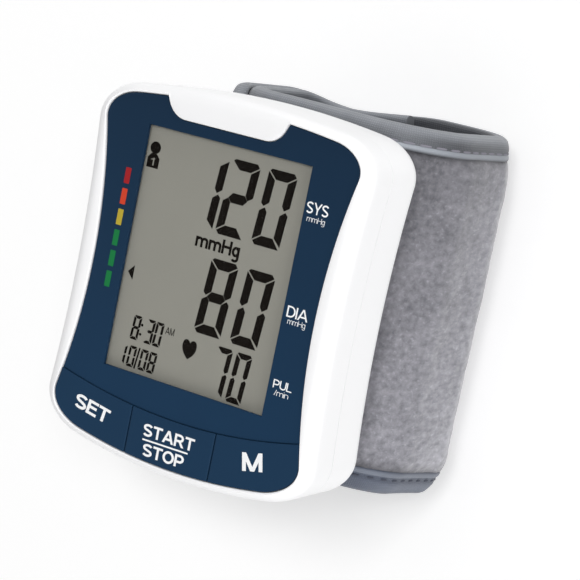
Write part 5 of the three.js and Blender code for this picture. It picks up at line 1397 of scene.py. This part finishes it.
flap_end = END_RUN - FLAP_TRIM - (FLAP_CORNER - FLAP_TRIM) * np.linspace(1, 0, 14) ** 1.5
straight = np.arange(SPLIT_RUN, END_RUN - FLAP_CORNER, CLOTH_STEP)
flap_run = np.unique(np.concatenate([straight, flap_end]))
flap = cloth("flap_fleece", band(
    flap_run,
    lambda run: lower_edge(run) + flap_cut(run) + FLAP_TRIM,
    lambda run: upper_edge(run) - flap_cut(run) - FLAP_TRIM,
    nap_face, fleece_back, nap,
), FLEECE, None)
bent(flap)
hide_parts("strap_flap")

corner_run, corner_half = END_RUN - FLAP_CORNER, (FLAP_CORNER, FLAP_CORNER)
upper_corner = arch(corner_run, upper_edge(END_RUN) - FLAP_CORNER, *corner_half, 90, 0, 24)
lower_corner = arch(corner_run, lower_edge(END_RUN) + FLAP_CORNER, *corner_half, 0, -90, 24)
end_line = np.linspace(upper_corner[-1], lower_corner[0], 90)[1:-1]
border = np.concatenate([
    np.stack([straight, upper_edge(straight)], axis=1), upper_corner, end_line, lower_corner,
    np.stack([straight, lower_edge(straight)], axis=1)[::-1],
])
border_along = np.gradient(border, axis=0)
border_along /= np.linalg.norm(border_along, axis=1, keepdims=True)
border_in = np.stack([border_along[:, 1], -border_along[:, 0]], axis=1)


def round_border(fall, depth, shade):
    """Points at distances inwards from the flap's border and depths into it, with their weave."""
    flat = border[:, None] + border_in[:, None] * np.asarray(fall)[None, :, None]
    run, y = flat[..., 0], flat[..., 1]
    return on_cuff(run, y, np.broadcast_to(depth, run.shape)), woven(run, y, shade)


flap_depth, flap_fall = tape_section(np.full((1, 1), UNLINED), STITCH_FALL)
flap_shade = upper_shade(flap_fall, HINGE_RUN)
flap_tape = bent(cloth("flap_tape", round_border(flap_fall, flap_depth, flap_shade), TAPE, None))
flap_roll = round_border(UPPER_FOLD + fold_down, fold_depth[None], fold_shade)
flap_fold = bent(cloth("flap_fold", flap_roll, LIT_FOLD_TAPE, None))
border_run = np.concatenate([[0], np.cumsum(np.linalg.norm(np.diff(border, axis=0), axis=1))])
flap_sewn = np.arange(2.0, border_run[-1] - 2, STITCH_PITCH)
sewn_line = border + border_in * STITCH_FALL
sewn_at = [np.interp(flap_sewn, border_run, sewn_line[:, k]) for k in (0, 1)]
sewn_way = [np.interp(flap_sewn, border_run, border_along[:, k]) for k in (0, 1)]
flap_stitches = piece(
    "flap_stitches",
    stitches(*sewn_at, np.arctan2(sewn_way[1], sewn_way[0]), STITCH_DEPTH, STITCH_HALF),
    THREAD_LIGHT, None,
)
bent(flap_stitches)

# Moulded hook tape: stiff dark hooks in rows about 1.2 mm apart.
HOOKS = moulded("moulded_hook_tape", "#34353A", 0.6, 1.2, 0.35, 0.3)
dress(HOOKS, "hook_patch")
